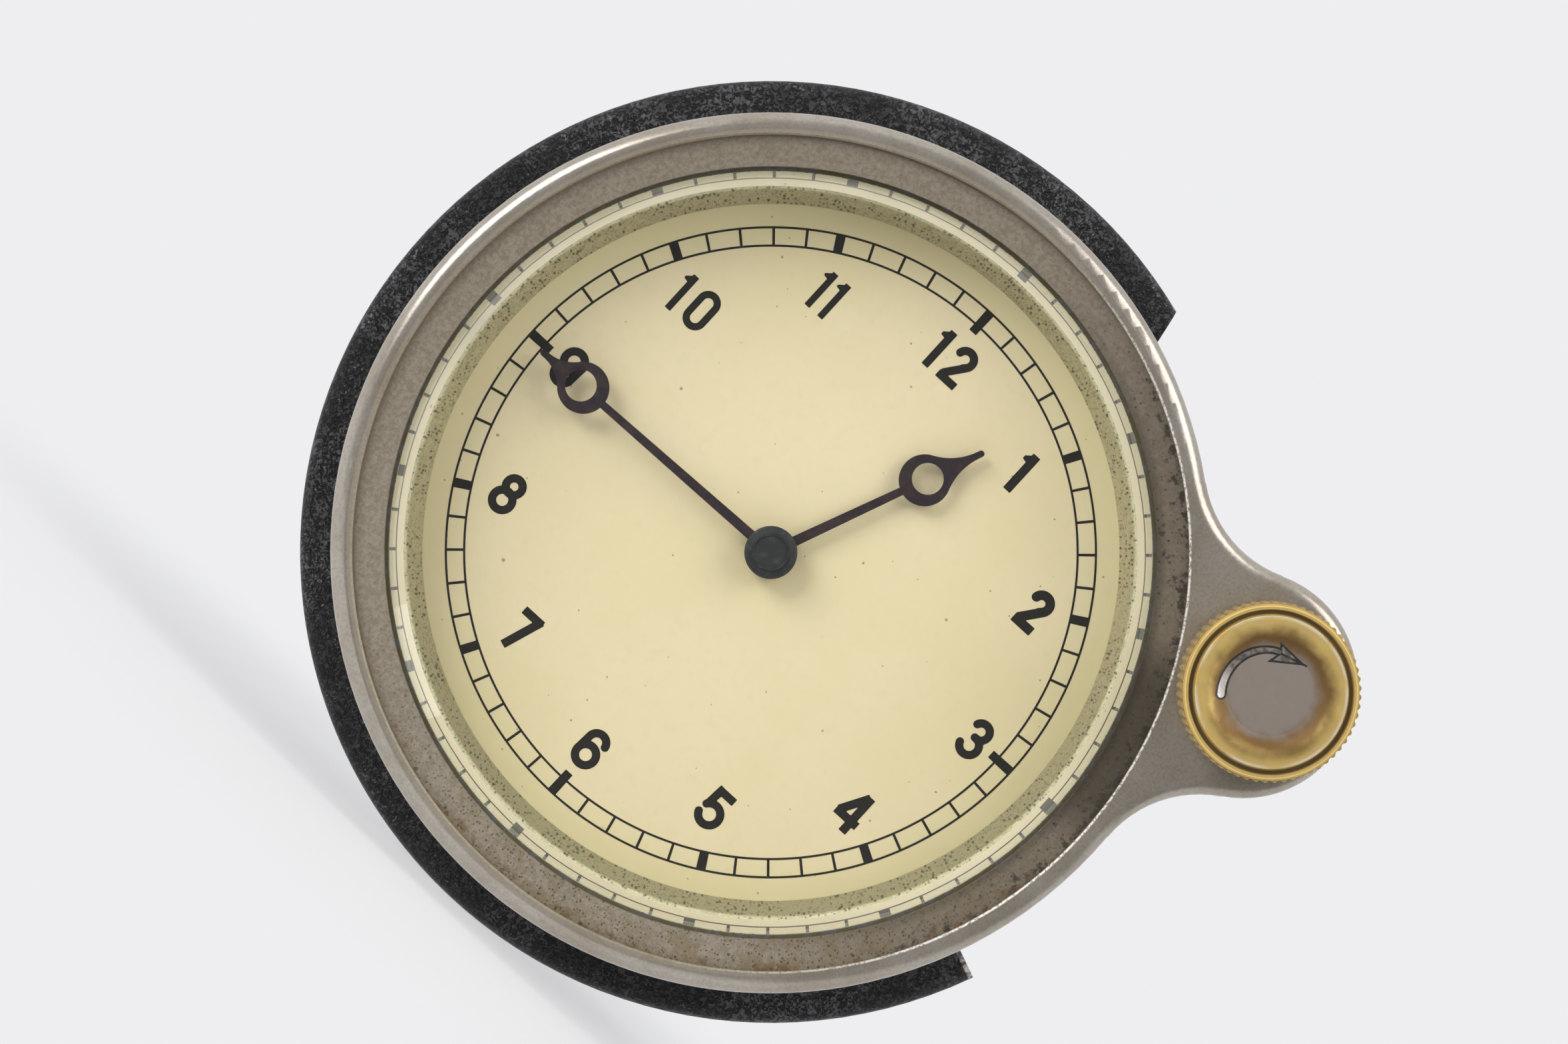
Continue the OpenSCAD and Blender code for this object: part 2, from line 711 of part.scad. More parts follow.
// A hand along +x: hub, tapered shaft, ring with a hole and a hollow-sided tip
module hand_2d(length, ring_at, hub_r, bore) {
    tip_w = 0.7;
    neck_r = (pow(length - ring_at - tip_w, 2) - ring_r * ring_r + tip_w * tip_w / 4)
        / (2 * ring_r - tip_w);
    neck_x = ring_at + sqrt(pow(ring_r + neck_r, 2) - pow(tip_w / 2 + neck_r, 2));
    difference() {
        union() {
            circle(hub_r);
            polygon([[0, -hand_root_w / 2], [ring_at, -hand_w / 2], [ring_at, hand_w / 2],
                [0, hand_root_w / 2]]);
            translate([ring_at, 0]) circle(ring_r);
            difference() {
                polygon([[ring_at, 0], [neck_x, -neck_r], [neck_x, neck_r]]);
                for (side = [-1, 1]) translate([neck_x, side * (neck_r + tip_w / 2)]) circle(neck_r);
            }
            translate([neck_x - 0.1, -tip_w / 2]) square([length - tip_w / 2 - neck_x + 0.1, tip_w]);
            translate([length - tip_w / 2, 0]) circle(tip_w / 2);
        }
        translate([ring_at + (ring_r - ring_hole_r) / 3, 0]) circle(ring_hole_r);
        circle(bore);
    }
}

module hour_hand() {
    color(dark_steel) upright() translate([0, 0, hour_hand_z]) linear_extrude(hand_t)
        rotate(90 - hour_at) hand_2d(hour_len, hour_ring_at, boss_r, pipe_r);
}

module minute_hand() {
    color(dark_steel) upright() translate([0, 0, minute_hand_z]) linear_extrude(hand_t)
        rotate(90 - minute_at) hand_2d(minute_len, minute_ring_at, boss_r, cannon_r);
}

// A closed cap over the cannon pinion's end, with a ridge round its face
module hand_cap() {
    bore = centre_post_r + run_clear;
    ridge = 0.2;
    color([0.14, 0.15, 0.16]) upright() translate([0, 0, cap_z]) rotate_extrude() polygon([[bore, 0],
        [boss_r, 0], [boss_r, cap_face - 2 * ridge], [boss_r - ridge, cap_face - ridge],
        [cap_ring_r + ridge / 2, cap_face - ridge / 2], [cap_ring_r, cap_h], [cap_ring_r - ridge / 2, cap_h],
        [cap_ring_r - ridge, cap_face], [0, cap_face], [0, cap_face - cap_web], [bore, cap_face - cap_web]]);
}

// Knob, sleeve and clutch

module knob() {
    rim_r = knob_d / 2;
    core_r = rim_r - knurl_depth;
    // The flat lies a little below the rim
    face_drop = 0.3;
    rim_h = knob_h - knob_ring_h + 0.1;
    rim_bevel = 0.3;
    base_bevel = 0.5;
    knurl_low = 0.7;
    knurl_high = rim_h - 0.5;
    groove_out = core_r - rim_w;
    groove_in = groove_out - groove_w;
    groove_z = rim_h - groove_depth;
    face_z = rim_h - face_drop;
    crest_in = 0.6;
    crest_r = groove_in - crest_in;
    knob_edge = 0.3;
    // The ring's curve starts just below the flat, so that it leaves it without a step
    foot_z = face_z - 0.02;
    crest_h = face_z + knob_ring_h - foot_z;
    crest_w = crest_r - knob_flat_r;
    sweep_r = (crest_w * crest_w + crest_h * crest_h) / (4 * crest_h);
    middle_r = (knob_flat_r + crest_r) / 2;
    ring_room = knob_h - groove_z;
    // Height of a rounded ridge in steps along its pitch, as a share of the knurl's depth
    ridge = [-0.15, 0.35, 0.9, 0.9, 0.35];
    color(brass) upright() at(knob_axis, knob_z) difference() {
        union() {
            rotate_extrude() polygon([[0, 0], [core_r - base_bevel, 0], [core_r, base_bevel],
                [core_r, rim_h - rim_bevel], [core_r - rim_bevel, rim_h], [groove_out, rim_h],
                [groove_out, groove_z], [groove_in, groove_z], [groove_in, face_z], [0, face_z]]);
            translate([0, 0, knurl_low]) linear_extrude(knurl_high - knurl_low)
                polygon([for (i = [0 : knurl_n - 1], k = [0 : len(ridge) - 1])
                    polar(core_r + knurl_depth * ridge[k], 360 / knurl_n * (i + k / len(ridge)))]);
            // The ring round the flat sweeps up in a hollow curve and over a crest near the groove
            rotate_extrude() intersection() {
                union() {
                    difference() {
                        translate([knob_flat_r, groove_z]) square([middle_r - knob_flat_r, ring_room]);
                        translate([knob_flat_r, foot_z + sweep_r]) circle(sweep_r);
                    }
                    intersection() {
                        translate([middle_r, groove_z]) square([groove_in - middle_r, ring_room]);
                        translate([crest_r, foot_z + crest_h - sweep_r]) circle(sweep_r);
                    }
                }
                rounded_profile(groove_in, 0, face_z + knob_ring_h + 0.05, knob_edge);
            }
        }
        translate([0, 0, -1]) cylinder(r = shaft_r, h = shaft_top + 1);
    }
}

module knob_shaft() {
    color(steel) upright() {
        disc(knob_axis, shaft_root_r, clutch_z, shoulder_z);
        disc(knob_axis, shaft_r, shoulder_z - eps, knob_z + shaft_top);
    }
}

module sliding_sleeve() {
    color(brass) upright() difference() {
        disc(knob_axis, sleeve_r, shoulder_z + face_clear, knob_z - face_clear);
        disc(knob_axis, shaft_r + run_clear, shoulder_z, knob_z + 1);
    }
}

module clutch() {
    color(steel) upright() difference() {
        disc(knob_axis, root_r(knob_teeth, wind_mod) + 0.3, clutch_z, clutch_z + clutch_t);
        disc(knob_axis, shaft_root_r, clutch_z - 1, clutch_z + clutch_t + 1);
    }
}

// Winding and setting wheels under the dial

module winding_pinion() {
    color(steel) upright() difference() {
        pinion(knob_axis, knob_teeth, wind_mod, winding_phase, wind_z, wind_z + wheel_t);
        disc(knob_axis, wheel_stud_r + run_clear, wind_z - 1, wind_z + wheel_t + 1);
    }
}

module winding_idler() {
    color(brass) upright() spoked(idler, idler_n, wind_mod, idler_phase, wind_z, wheel_t,
        idler_stud_r + run_clear, hub = 3.2);
}

// Shouldered stud: the winding idler runs below the shoulder and the setting idler above it
module idler_stud() {
    color(steel) upright() {
        disc(idler, idler_stud_r, plate_z, dial_z - seat_clear);
        disc(idler, idler_stud_r + idler_shoulder, wind_z + wheel_t + face_clear, set_z - face_clear);
        disc(idler, idler_stud_r + idler_shoulder, plate_rise, wind_z - face_clear);
    }
}

module ratchet_wheel() {
    color(steel) upright() difference() {
        pinion(barrel_axis, ratchet_teeth, wind_mod, ratchet_phase, wind_z, wind_z + wheel_t);
        disc(barrel_axis, ratchet_seat_r, wind_z - 1, wind_z + wheel_t + 1);
    }
}

module click() {
    tip = tip_r(ratchet_teeth, wind_mod) + free_clear;
    beak = barrel_axis + polar(tip, -58);
    along = heading(click_axis, beak);
    color(steel) upright() difference() {
        union() {
            disc(click_axis, click_r, wind_z, wind_z + wheel_t);
            translate([0, 0, wind_z]) linear_extrude(wheel_t) polygon([
                click_axis + polar(click_r - 0.3, along + 90), beak,
                click_axis + polar(click_r - 0.3, along - 90)]);
        }
        disc(click_axis, wheel_stud_r + run_clear, wind_z - 1, wind_z + wheel_t + 1);
    }
}

// A leaf spring on a post, resting just off the click's back
module click_spring() {
    away = heading(barrel_axis, click_axis);
    leaf = click_axis + polar(click_r + free_clear, away);
    color(steel) upright() {
        disc(click_post, click_post_r, plate_z, wind_z + wheel_t);
        at(click_post, wind_z + 0.1) rotate(heading(click_post, leaf)) translate([0, -0.15, 0])
            cube([norm(leaf - click_post) + 1.5, 0.3, wheel_t - 0.2]);
    }
}

module setting_pinion() {
    color(steel) upright() difference() {
        pinion(knob_axis, knob_teeth, wind_mod, set_pinion_phase, set_z, set_z + wheel_t);
        disc(knob_axis, nose_r + run_clear, set_z - 1, set_z + wheel_t + 1);
    }
}

module setting_idler() {
    color(brass) upright() spoked(idler, idler_n, wind_mod, set_idler_phase, set_z, wheel_t,
        idler_stud_r + run_clear, hub = 3.2);
}

module setting_wheel() {
    bore = wheel_stud_r + run_clear;
    color(brass) upright() {
        spoked(setting_axis, setting_n, wind_mod, setting_phase, set_z, wheel_t, bore);
        difference() {
            union() {
                pinion(setting_axis, setting_pinion_teeth, motion_mod, under_phase, motion_z,
                    motion_z + wheel_t);
                disc(setting_axis, 2, motion_z, set_z + eps);
            }
            disc(setting_axis, bore, motion_z - 1, set_z + 1);
        }
    }
}

// Studs on the front plate for the minute wheel, the setting wheel and the click
module wheel_studs() {
    color(steel) upright() {
        disc(minute_axis, wheel_stud_r, plate_z, hour_z + wheel_t + stud_end);
        disc(minute_axis, wheel_stud_r + stud_shoulder, plate_rise, motion_z - face_clear);
        disc(setting_axis, wheel_stud_r, plate_z, dial_z - seat_clear);
        disc(setting_axis, wheel_stud_r + stud_shoulder, plate_rise, motion_z - face_clear);
        disc(click_axis, wheel_stud_r, plate_z, wind_z + wheel_t + stud_end);
        disc(click_axis, wheel_stud_r + stud_shoulder, plate_rise, wind_z - face_clear);
    }
}

// Motion work

module cannon_pinion() {
    color(steel) upright() difference() {
        union() {
            disc(centre, cannon_r, plate_rise + face_clear, cap_z);
            pinion(centre, cannon_teeth, motion_mod, cannon_phase, motion_z, motion_z + wheel_t);
        }
        disc(centre, centre_post_r + run_clear, 0, cap_z + 1);
    }
}

module minute_wheel() {
    bore = wheel_stud_r + run_clear;
    color(brass) upright() {
        spoked(minute_axis, minute_teeth, motion_mod, minute_phase, motion_z, wheel_t, bore, hub = 2,
            rim = 0.8, spoke_w = 0.9);
        difference() {
            pinion(minute_axis, minute_leaves, hour_mod, minute_leaf_phase, motion_z + wheel_t - eps,
                hour_z + wheel_t);
            disc(minute_axis, bore, motion_z, hour_z + wheel_t + 1);
        }
    }
}

module hour_wheel() {
    color(brass) upright() {
        spoked(centre, hour_teeth, hour_mod, hour_phase, hour_z, wheel_t, cannon_r + run_clear, hub = 3,
            rim = 0.8, spoke_w = 0.9);
        hoop(cannon_r + run_clear, pipe_r, hour_z, hour_hand_z + hand_t);
    }
}

// Movement

module front_plate() {
    color(brass) upright() difference() {
        disc(centre, plate_r, plate_z, plate_rise);
        disc(centre, centre_arbor_r + run_clear, plate_z - 1, plate_rise + 1);
        disc(barrel_axis, barrel_arbor_r + run_clear, plate_z - 1, plate_rise + 1);
        disc(idler, idler_stud_r, plate_z - 1, plate_rise + 1);
        for (p = [minute_axis, setting_axis, click_axis]) disc(p, wheel_stud_r, plate_z - 1, plate_rise + 1);
        disc(click_post, click_post_r, plate_z - 1, plate_rise + 1);
        for (p = [third_axis, fourth_axis, escape_axis, lever_axis, balance_axis])
            disc(p, pivot_r + run_clear, plate_z - 1, plate_rise + 1);
        for (a = casing_screw_angles)
            disc(polar(casing_screw_at, a), screw_r, plate_z - 1, plate_rise + 1);
        for (p = plate_screw_places) disc(p, pillar_spigot_r, plate_z - 1, plate_rise + 1);
    }
}

module back_plate() {
    color(brass) upright() difference() {
        disc(centre, back_plate_d / 2, back_z, back_z + plate_t);
        for (p = [centre, third_axis, fourth_axis, escape_axis, lever_axis])
            disc(p, pivot_r + run_clear, back_z - 1, back_z + plate_t + 1);
        disc(barrel_axis, barrel_pivot_r + run_clear, back_z - 1, back_z + plate_t + 1);
        disc(balance_axis, arbor_r + free_clear, back_z - 1, back_z + plate_t + 1);
        for (p = stud_places) disc(p, stud_root_r, back_z - 1, back_z + plate_t + 1);
        for (p = plate_screw_places) disc(p, screw_r, back_z - 1, back_z + plate_t + 1);
    }
}

module pillars() {
    color(brass) upright() for (p = plate_screw_places) difference() {
        union() {
            disc(p, pillar_r, plate_z - plate_gap, plate_z);
            disc(p, pillar_spigot_r, plate_z - eps, plate_rise);
        }
        disc(p, screw_r, plate_z - plate_gap - 1, plate_z - plate_gap + pillar_thread);
    }
}

module plate_screws() {
    color(steel) upright() {
        for (p = plate_screw_places) at(p, back_z) mirror([0, 0, 1])
            screw(plate_t + pillar_thread - 0.2, screw_r, pillar_r, screw_head_h);
        at(cock_foot, cock_z) mirror([0, 0, 1]) screw(4, screw_r, pillar_r, screw_head_h);
    }
}

module barrel() {
    color(brass) upright() difference() {
        union() {
            pinion(barrel_axis, barrel_teeth, barrel_mod, barrel_phase, barrel_z, barrel_z + barrel_rim);
            disc(barrel_axis, drum_r, barrel_z, drum_top - drum_wall);
        }
        disc(barrel_axis, drum_r - drum_wall, barrel_z + drum_wall, drum_top + 1);
        disc(barrel_axis, barrel_pivot_r + run_clear, barrel_z - 1, drum_top);
    }
}

module barrel_cover() {
    color(brass) upright() difference() {
        disc(barrel_axis, drum_r, drum_top - drum_wall, drum_top);
        disc(barrel_axis, barrel_arbor_r + run_clear, drum_top - drum_wall - 1, drum_top + 1);
    }
}

module barrel_arbor() {
    color(steel) upright() {
        disc(barrel_axis, barrel_arbor_r, barrel_z + drum_wall + face_clear, wind_z);
        disc(barrel_axis, barrel_pivot_r, back_z, barrel_z + drum_wall + face_clear + eps);
        disc(barrel_axis, ratchet_seat_r, wind_z - eps, wind_z + wheel_t);
    }
}

// Flat spiral strip from r0 to r1
module spiral_2d(r0, r1, turns, strip, steps = 20) {
    n = turns * steps;
    function mid(i) = r0 + strip / 2 + (r1 - r0 - strip) * i / n;
    polygon([for (i = [0 : n]) polar(mid(i) + strip / 2, 360 * i / steps),
        each [for (i = [n : -1 : 0]) polar(mid(i) - strip / 2, 360 * i / steps)]]);
}

module mainspring() {
    side_room = 0.2;
    turns = 8;
    strip = 0.4;
    color(dark_steel) upright() at(barrel_axis, barrel_z + drum_wall + side_room)
        linear_extrude(barrel_h - 2 * (drum_wall + side_room))
            spiral_2d(barrel_arbor_r + free_clear, drum_r - drum_wall - seat_clear, turns, strip);
}

module centre_wheel() {
    color(brass) upright() spoked(centre, centre_teeth, centre_mod, centre_phase, centre_z, wheel_t,
        centre_arbor_r, hub = 3, spokes = 5);
}

module centre_arbor() {
    color(steel) upright() {
        disc(centre, centre_arbor_r, plate_z - plate_gap + face_clear, plate_rise);
        disc(centre, pivot_r, back_z, plate_z - plate_gap + 1);
        disc(centre, centre_post_r, plate_rise - eps, cap_z + cap_face - cap_web - free_clear);
        pinion(centre, centre_leaves, barrel_mod, centre_leaf_phase, barrel_z - leaf_over,
            barrel_z + barrel_rim + leaf_over);
    }
}

module third_wheel() {
    color(brass) upright() spoked(third_axis, third_teeth, third_mod, third_phase, third_z, wheel_t, arbor_r,
        spokes = 5);
}

module third_arbor() {
    color(steel) upright() {
        arbor(third_axis, arbor_r);
        pinion(third_axis, third_leaves, centre_mod, third_leaf_phase, centre_z - leaf_over,
            centre_z + wheel_t + leaf_over);
    }
}

module fourth_wheel() {
    color(brass) upright() spoked(fourth_axis, fourth_teeth, fourth_mod, fourth_phase, fourth_z, wheel_t,
        arbor_r, spokes = 5);
}

module fourth_arbor() {
    color(steel) upright() {
        arbor(fourth_axis, arbor_r);
        pinion(fourth_axis, fourth_leaves, third_mod, fourth_leaf_phase, third_z - leaf_over,
            third_z + wheel_t + leaf_over);
    }
}

module escape_wheel() {
    tooth_h = 1;
    rim_w = 0.6;
    hub_r = 1.2;
    spoke_w = 0.6;
    rim_r = escape_r - tooth_h;
    color(brass) upright() at(escape_axis, escape_z) linear_extrude(wheel_t) difference() {
        polygon([for (i = [0 : escape_teeth - 1], k = [0 : 2])
            polar([rim_r, escape_r, escape_r][k], 360 / escape_teeth * (i + [0, 0.45, 0.65][k]))]);
        difference() {
            circle(rim_r - rim_w);
            circle(hub_r);
            for (a = [0, 90]) rotate(a) translate([-rim_r, -spoke_w / 2]) square([2 * rim_r, spoke_w]);
        }
        circle(arbor_r);
    }
}

module escape_arbor() {
    color(steel) upright() {
        arbor(escape_axis, arbor_r);
        pinion(escape_axis, escape_leaves, fourth_mod, escape_leaf_phase, fourth_z - leaf_over,
            fourth_z + wheel_t + leaf_over);
    }
}

// Lever with two pallet arms round the escape wheel and a fork at the balance
module pallet_lever() {
    back = heading(lever_axis, escape_axis);
    out = heading(lever_axis, balance_axis);
    tip_clear = 0.4;
    arm_w = 0.7;
    stem_w = 0.6;
    fork_w = 2;
    fork_l = 1.8;
    fork_at = fork_d - 2 * fork_l;
    color(steel) upright() {
        arbor(lever_axis, arbor_r);
        at(centre, escape_z) linear_extrude(wheel_t) {
            translate(lever_axis) circle(1.3);
            for (side = [-1, 1]) {
                pallet = escape_axis + polar(escape_r + tip_clear + arm_w / 2, back + 180 + side * 42);
                translate(lever_axis) rotate(heading(lever_axis, pallet)) translate([0, -arm_w / 2])
                    square([norm(pallet - lever_axis), arm_w]);
                translate(pallet) circle(arm_w / 2);
            }
            translate(lever_axis) rotate(out) {
                translate([0, -stem_w / 2]) square([fork_at + 0.2, stem_w]);
                difference() {
                    translate([fork_at, -fork_w / 2]) square([fork_l, fork_w]);
                    translate([fork_at + arm_w, -arm_w / 2]) square([fork_l, arm_w]);
                }
            }
        }
    }
}

module balance_wheel() {
    rim_w = 1.3;
    hub_r = 1.8;
    arm_w = 1.4;
    color(brass) upright() at(balance_axis, balance_z) {
        linear_extrude(balance_t) difference() {
            circle(balance_r);
            difference() {
                circle(balance_r - rim_w);
                circle(hub_r);
                translate([-balance_r, -arm_w / 2]) square([2 * balance_r, arm_w]);
            }
            circle(arbor_r);
        }
    }
}

// Staff with the impulse roller in front and the hairspring's collet behind
module balance_staff() {
    roller_r = 1.3;
    roller_z = escape_z + wheel_t + 0.2;
    roller_t = 0.6;
    color(steel) upright() {
        disc(balance_axis, arbor_r, cock_z + cock_t + face_clear, plate_z - face_clear);
        disc(balance_axis, pivot_r, cock_z, plate_rise);
        disc(balance_axis, roller_r, roller_z, roller_z + roller_t);
        disc(balance_axis, collet_r, spring_z - 0.2, balance_z);
    }
}

module hairspring() {
    color(dark_steel) upright() at(balance_axis, spring_z) linear_extrude(spring_t)
        spiral_2d(spring_in, spring_out, spring_turns, spring_strip);
}

module balance_cock() {
    reach = norm(cock_foot - balance_axis);
    bar_w = 4;
    boss_r = 2.6;
    arm_w = 1.2;
    spring_stud_r = 0.5;
    spring_stud = balance_axis + [spring_out + 0.55, arm_w / 2];
    color(brass) upright() difference() {
        union() {
            disc(cock_foot, foot_block_r, cock_z, back_z);
            disc(balance_axis, boss_r, cock_z, cock_z + cock_t);
            at(balance_axis, cock_z) rotate(heading(balance_axis, cock_foot)) translate([0, -bar_w / 2, 0])
                cube([reach, bar_w, cock_t]);
            // Stud that holds the hairspring's outer end
            at(balance_axis, cock_z) cube([spring_out + 1, arm_w, cock_t]);
            disc(spring_stud, spring_stud_r, cock_z, spring_z + spring_t);
        }
        disc(balance_axis, pivot_r + run_clear, cock_z - 1, cock_z + cock_t + 1);
        disc(cock_foot, screw_r, cock_z - 1, cock_z + 4);
    }
}

case_can();
rear_cover();
bezel();
ear_base();
ear_bush();
bezel_screws();
ear_screws();
casing_ring();
casing_screws();
rear_studs();
stud_nuts();
glass();
glass_gasket();
reflector_ring();
dial();
dial_feet();
minute_hand();
hour_hand();
hand_cap();
knob();
knob_shaft();
sliding_sleeve();
clutch();
winding_pinion();
winding_idler();
idler_stud();
ratchet_wheel();
click();
click_spring();
setting_pinion();
setting_idler();
setting_wheel();
wheel_studs();
cannon_pinion();
minute_wheel();
hour_wheel();
front_plate();
back_plate();
pillars();
plate_screws();
barrel();
barrel_cover();
barrel_arbor();
mainspring();
centre_wheel();
centre_arbor();
third_wheel();
third_arbor();
fourth_wheel();
fourth_arbor();
escape_wheel();
escape_arbor();
pallet_lever();
balance_wheel();
balance_staff();
hairspring();
balance_cock();
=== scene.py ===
"""Looks of a hand-wound car dashboard clock: finishes, printed dial, winding arrow, floor, light, camera.

The clock is in metres, in the frame of its solids: the dial faces -Y and 12 o'clock is +Z. Sizes below are in
millimetres, in clock coordinates: x to 3 o'clock, y to 12 o'clock, z towards the viewer.
"""
import json
import math

import bmesh
import bpy
import numpy as np
from mathutils import Matrix, Vector
from mathutils.bvhtree import BVHTree


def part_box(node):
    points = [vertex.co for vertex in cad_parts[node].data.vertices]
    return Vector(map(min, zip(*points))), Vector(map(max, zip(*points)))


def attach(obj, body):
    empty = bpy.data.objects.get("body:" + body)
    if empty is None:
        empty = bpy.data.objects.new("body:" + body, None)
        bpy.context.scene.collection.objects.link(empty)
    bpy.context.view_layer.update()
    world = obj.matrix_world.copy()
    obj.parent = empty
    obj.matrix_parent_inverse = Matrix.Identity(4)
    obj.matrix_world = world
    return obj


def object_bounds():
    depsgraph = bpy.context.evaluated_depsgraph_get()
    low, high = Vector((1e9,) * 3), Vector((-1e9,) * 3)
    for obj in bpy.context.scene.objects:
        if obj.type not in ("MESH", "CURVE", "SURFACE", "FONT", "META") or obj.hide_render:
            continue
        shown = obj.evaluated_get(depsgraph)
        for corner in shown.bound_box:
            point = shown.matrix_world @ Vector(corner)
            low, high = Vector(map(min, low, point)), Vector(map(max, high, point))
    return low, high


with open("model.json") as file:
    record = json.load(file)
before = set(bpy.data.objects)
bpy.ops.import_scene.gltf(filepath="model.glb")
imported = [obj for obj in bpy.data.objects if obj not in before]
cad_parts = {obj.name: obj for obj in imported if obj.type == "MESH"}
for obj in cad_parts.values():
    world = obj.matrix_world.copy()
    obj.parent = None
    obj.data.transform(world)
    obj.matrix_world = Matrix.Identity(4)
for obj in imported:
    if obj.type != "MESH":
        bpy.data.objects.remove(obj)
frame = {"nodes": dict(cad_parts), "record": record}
CAD_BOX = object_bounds()
SOLIDS = frame["nodes"]
SCENE = bpy.context.scene
MM = 0.001


def frame_point(x, y, z):
    """A point in clock coordinates, in mm, as a point of the frame in metres."""
    return Vector((x, -z, y)) * MM


def polar(r, degrees):
    """A point at a radius and an angle from 3 o'clock towards 12."""
    a = math.radians(degrees)
    return np.array((r * math.cos(a), r * math.sin(a)))


def srgb(red, green, blue):
    """A colour given as 0 to 255 on a screen, in linear light."""
    def linear(v):
        v /= 255
        return v / 12.92 if v <= 0.04045 else ((v + 0.055) / 1.055) ** 2.4
    return (linear(red), linear(green), linear(blue), 1.0)


# Places that the solids give
DIAL_FACE = -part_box("dial")[0].y / MM
KNOB_LOW, KNOB_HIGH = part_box("knob")
KNOB_X = (KNOB_LOW.x + KNOB_HIGH.x) / 2 / MM
KNOB_Y = (KNOB_LOW.z + KNOB_HIGH.z) / 2 / MM
KNOB_TOP = -KNOB_LOW.y / MM
KNOB_R = (KNOB_HIGH.x - KNOB_LOW.x) / 2 / MM
FLOOR_Z = CAD_BOX[0].z / MM

# Radii on the clock's face: both edges of the bezel's band, the glass's bevel, the reflector's wall, and
# where the dial's painted shade at its edge starts and is darkest
SIGHT_R = 39.5
BEAD_R = 42.65
BEVEL_R = 37.4
RING_R = 36.6
DIAL_SHADE_IN = 31
DIAL_SHADE_OUT = 36

# Heights at which the reflector's pale rim starts and is palest
PALE_START = DIAL_FACE + 3.9
PALE_FULL = DIAL_FACE + 4.6

# Radii on the knob's face: its worn middle and the edge of that, its ring's crest, and the groove
WORN_R = 3.8
WORN_EDGE_R = 5.4
CREST_R = 7.15
GROOVE_IN = 7.75
GROOVE_OUT = 8.35

# Directions in the dial's plane: the dirtier sides of bezel and reflector, where the bezel also carries
# painted shade and a painted highlight, and square to the flange's cut end
KNOB_SIDE = (0.954, 0, 0.301)
FOOT_SIDE = (0.46, 0, -0.888)
BELOW_KNOB = (0.97, 0, 0.242)
RING_DIRT_SIDE = (0.6, 0, -0.8)
FLANGE_END_ANGLE = math.radians(-22.1)
FLANGE_END = (-math.sin(FLANGE_END_ANGLE), 0, math.cos(FLANGE_END_ANGLE))

# Where the flange's cut end starts, towards 3 o'clock and from the clock's axis
FLANGE_END_X = 30
FLANGE_END_R = 42.5

# The camera's turn about its view, and the side of the knob that lies lowest in the view
CAMERA_ROLL = 42.5
KNOB_FOOT = (math.sin(math.radians(CAMERA_ROLL)), 0, -math.cos(math.radians(CAMERA_ROLL)))

# The winding arrow's shaft: angles of its tail and its head, from the photograph's right the way it turns,
# and the radius and place of its tail
ARROW_START = 178
ARROW_HEAD = 282
ARROW_TAIL_R = 5.0
ARROW_TAIL = polar(ARROW_TAIL_R, CAMERA_ROLL - ARROW_START) + (KNOB_X, KNOB_Y)

# Colours
CREAM = srgb(231, 214, 179)
CREAM_WARM = srgb(227, 210, 170)
CREAM_SHADE_AND_CLOUD = srgb(210, 198, 148)
SPECK = srgb(96, 74, 44)
RING_OLIVE = srgb(180, 169, 134)
RING_DIRT = srgb(152, 144, 114)
RING_PALE = srgb(212, 208, 172)
RING_PIT = srgb(62, 56, 38)
INK = srgb(24, 21, 17)
INK_WORN = srgb(52, 46, 43)
NICKEL = srgb(176, 169, 158)
NICKEL_GREY = srgb(160, 150, 136)
NICKEL_BROWN = srgb(94, 83, 68)
NICKEL_PIT_AND_SHADE = srgb(42, 36, 28)
NICKEL_WEAR_AND_HIGHLIGHT = srgb(242, 237, 228)
BAND_GREY = srgb(156, 146, 131)
BAND_DULL = srgb(136, 125, 107)
STAIN_AND_SHADE = srgb(118, 104, 72)
RUST = srgb(104, 76, 42)
BLACK_PAINT = srgb(17, 17, 18)
BLACK_WORN = srgb(84, 84, 86)
BLACK_GLINT = srgb(150, 150, 154)
BRASS = srgb(214, 184, 118)
BRASS_LIGHT = srgb(240, 206, 126)
BRASS_RIM_HIGHLIGHT = srgb(255, 244, 212)
BRASS_DARK = srgb(122, 93, 52)
KNOB_GREY = srgb(147, 136, 126)
KNOB_DULL = srgb(108, 99, 91)
GROOVE = srgb(96, 80, 56)
BLUED = srgb(48, 38, 46)
BLUED_BROWN = srgb(66, 50, 52)
BOSS = srgb(34, 37, 39)
STEEL = srgb(172, 172, 174)
STEEL_DARK = srgb(96, 94, 92)
SILVER = srgb(205, 196, 188)
RUBBER = srgb(80, 72, 48)
GLASS = srgb(252, 253, 250)
GLASS_GREEN = srgb(248, 251, 246)
GLASS_PASS = (0.95, 0.96, 0.94, 1)
BEVEL_HAZE = srgb(250, 248, 232)
PAPER = srgb(238, 238, 240)
PAPER_SHADE = srgb(236, 237, 239)
ROOM = srgb(246, 247, 250)


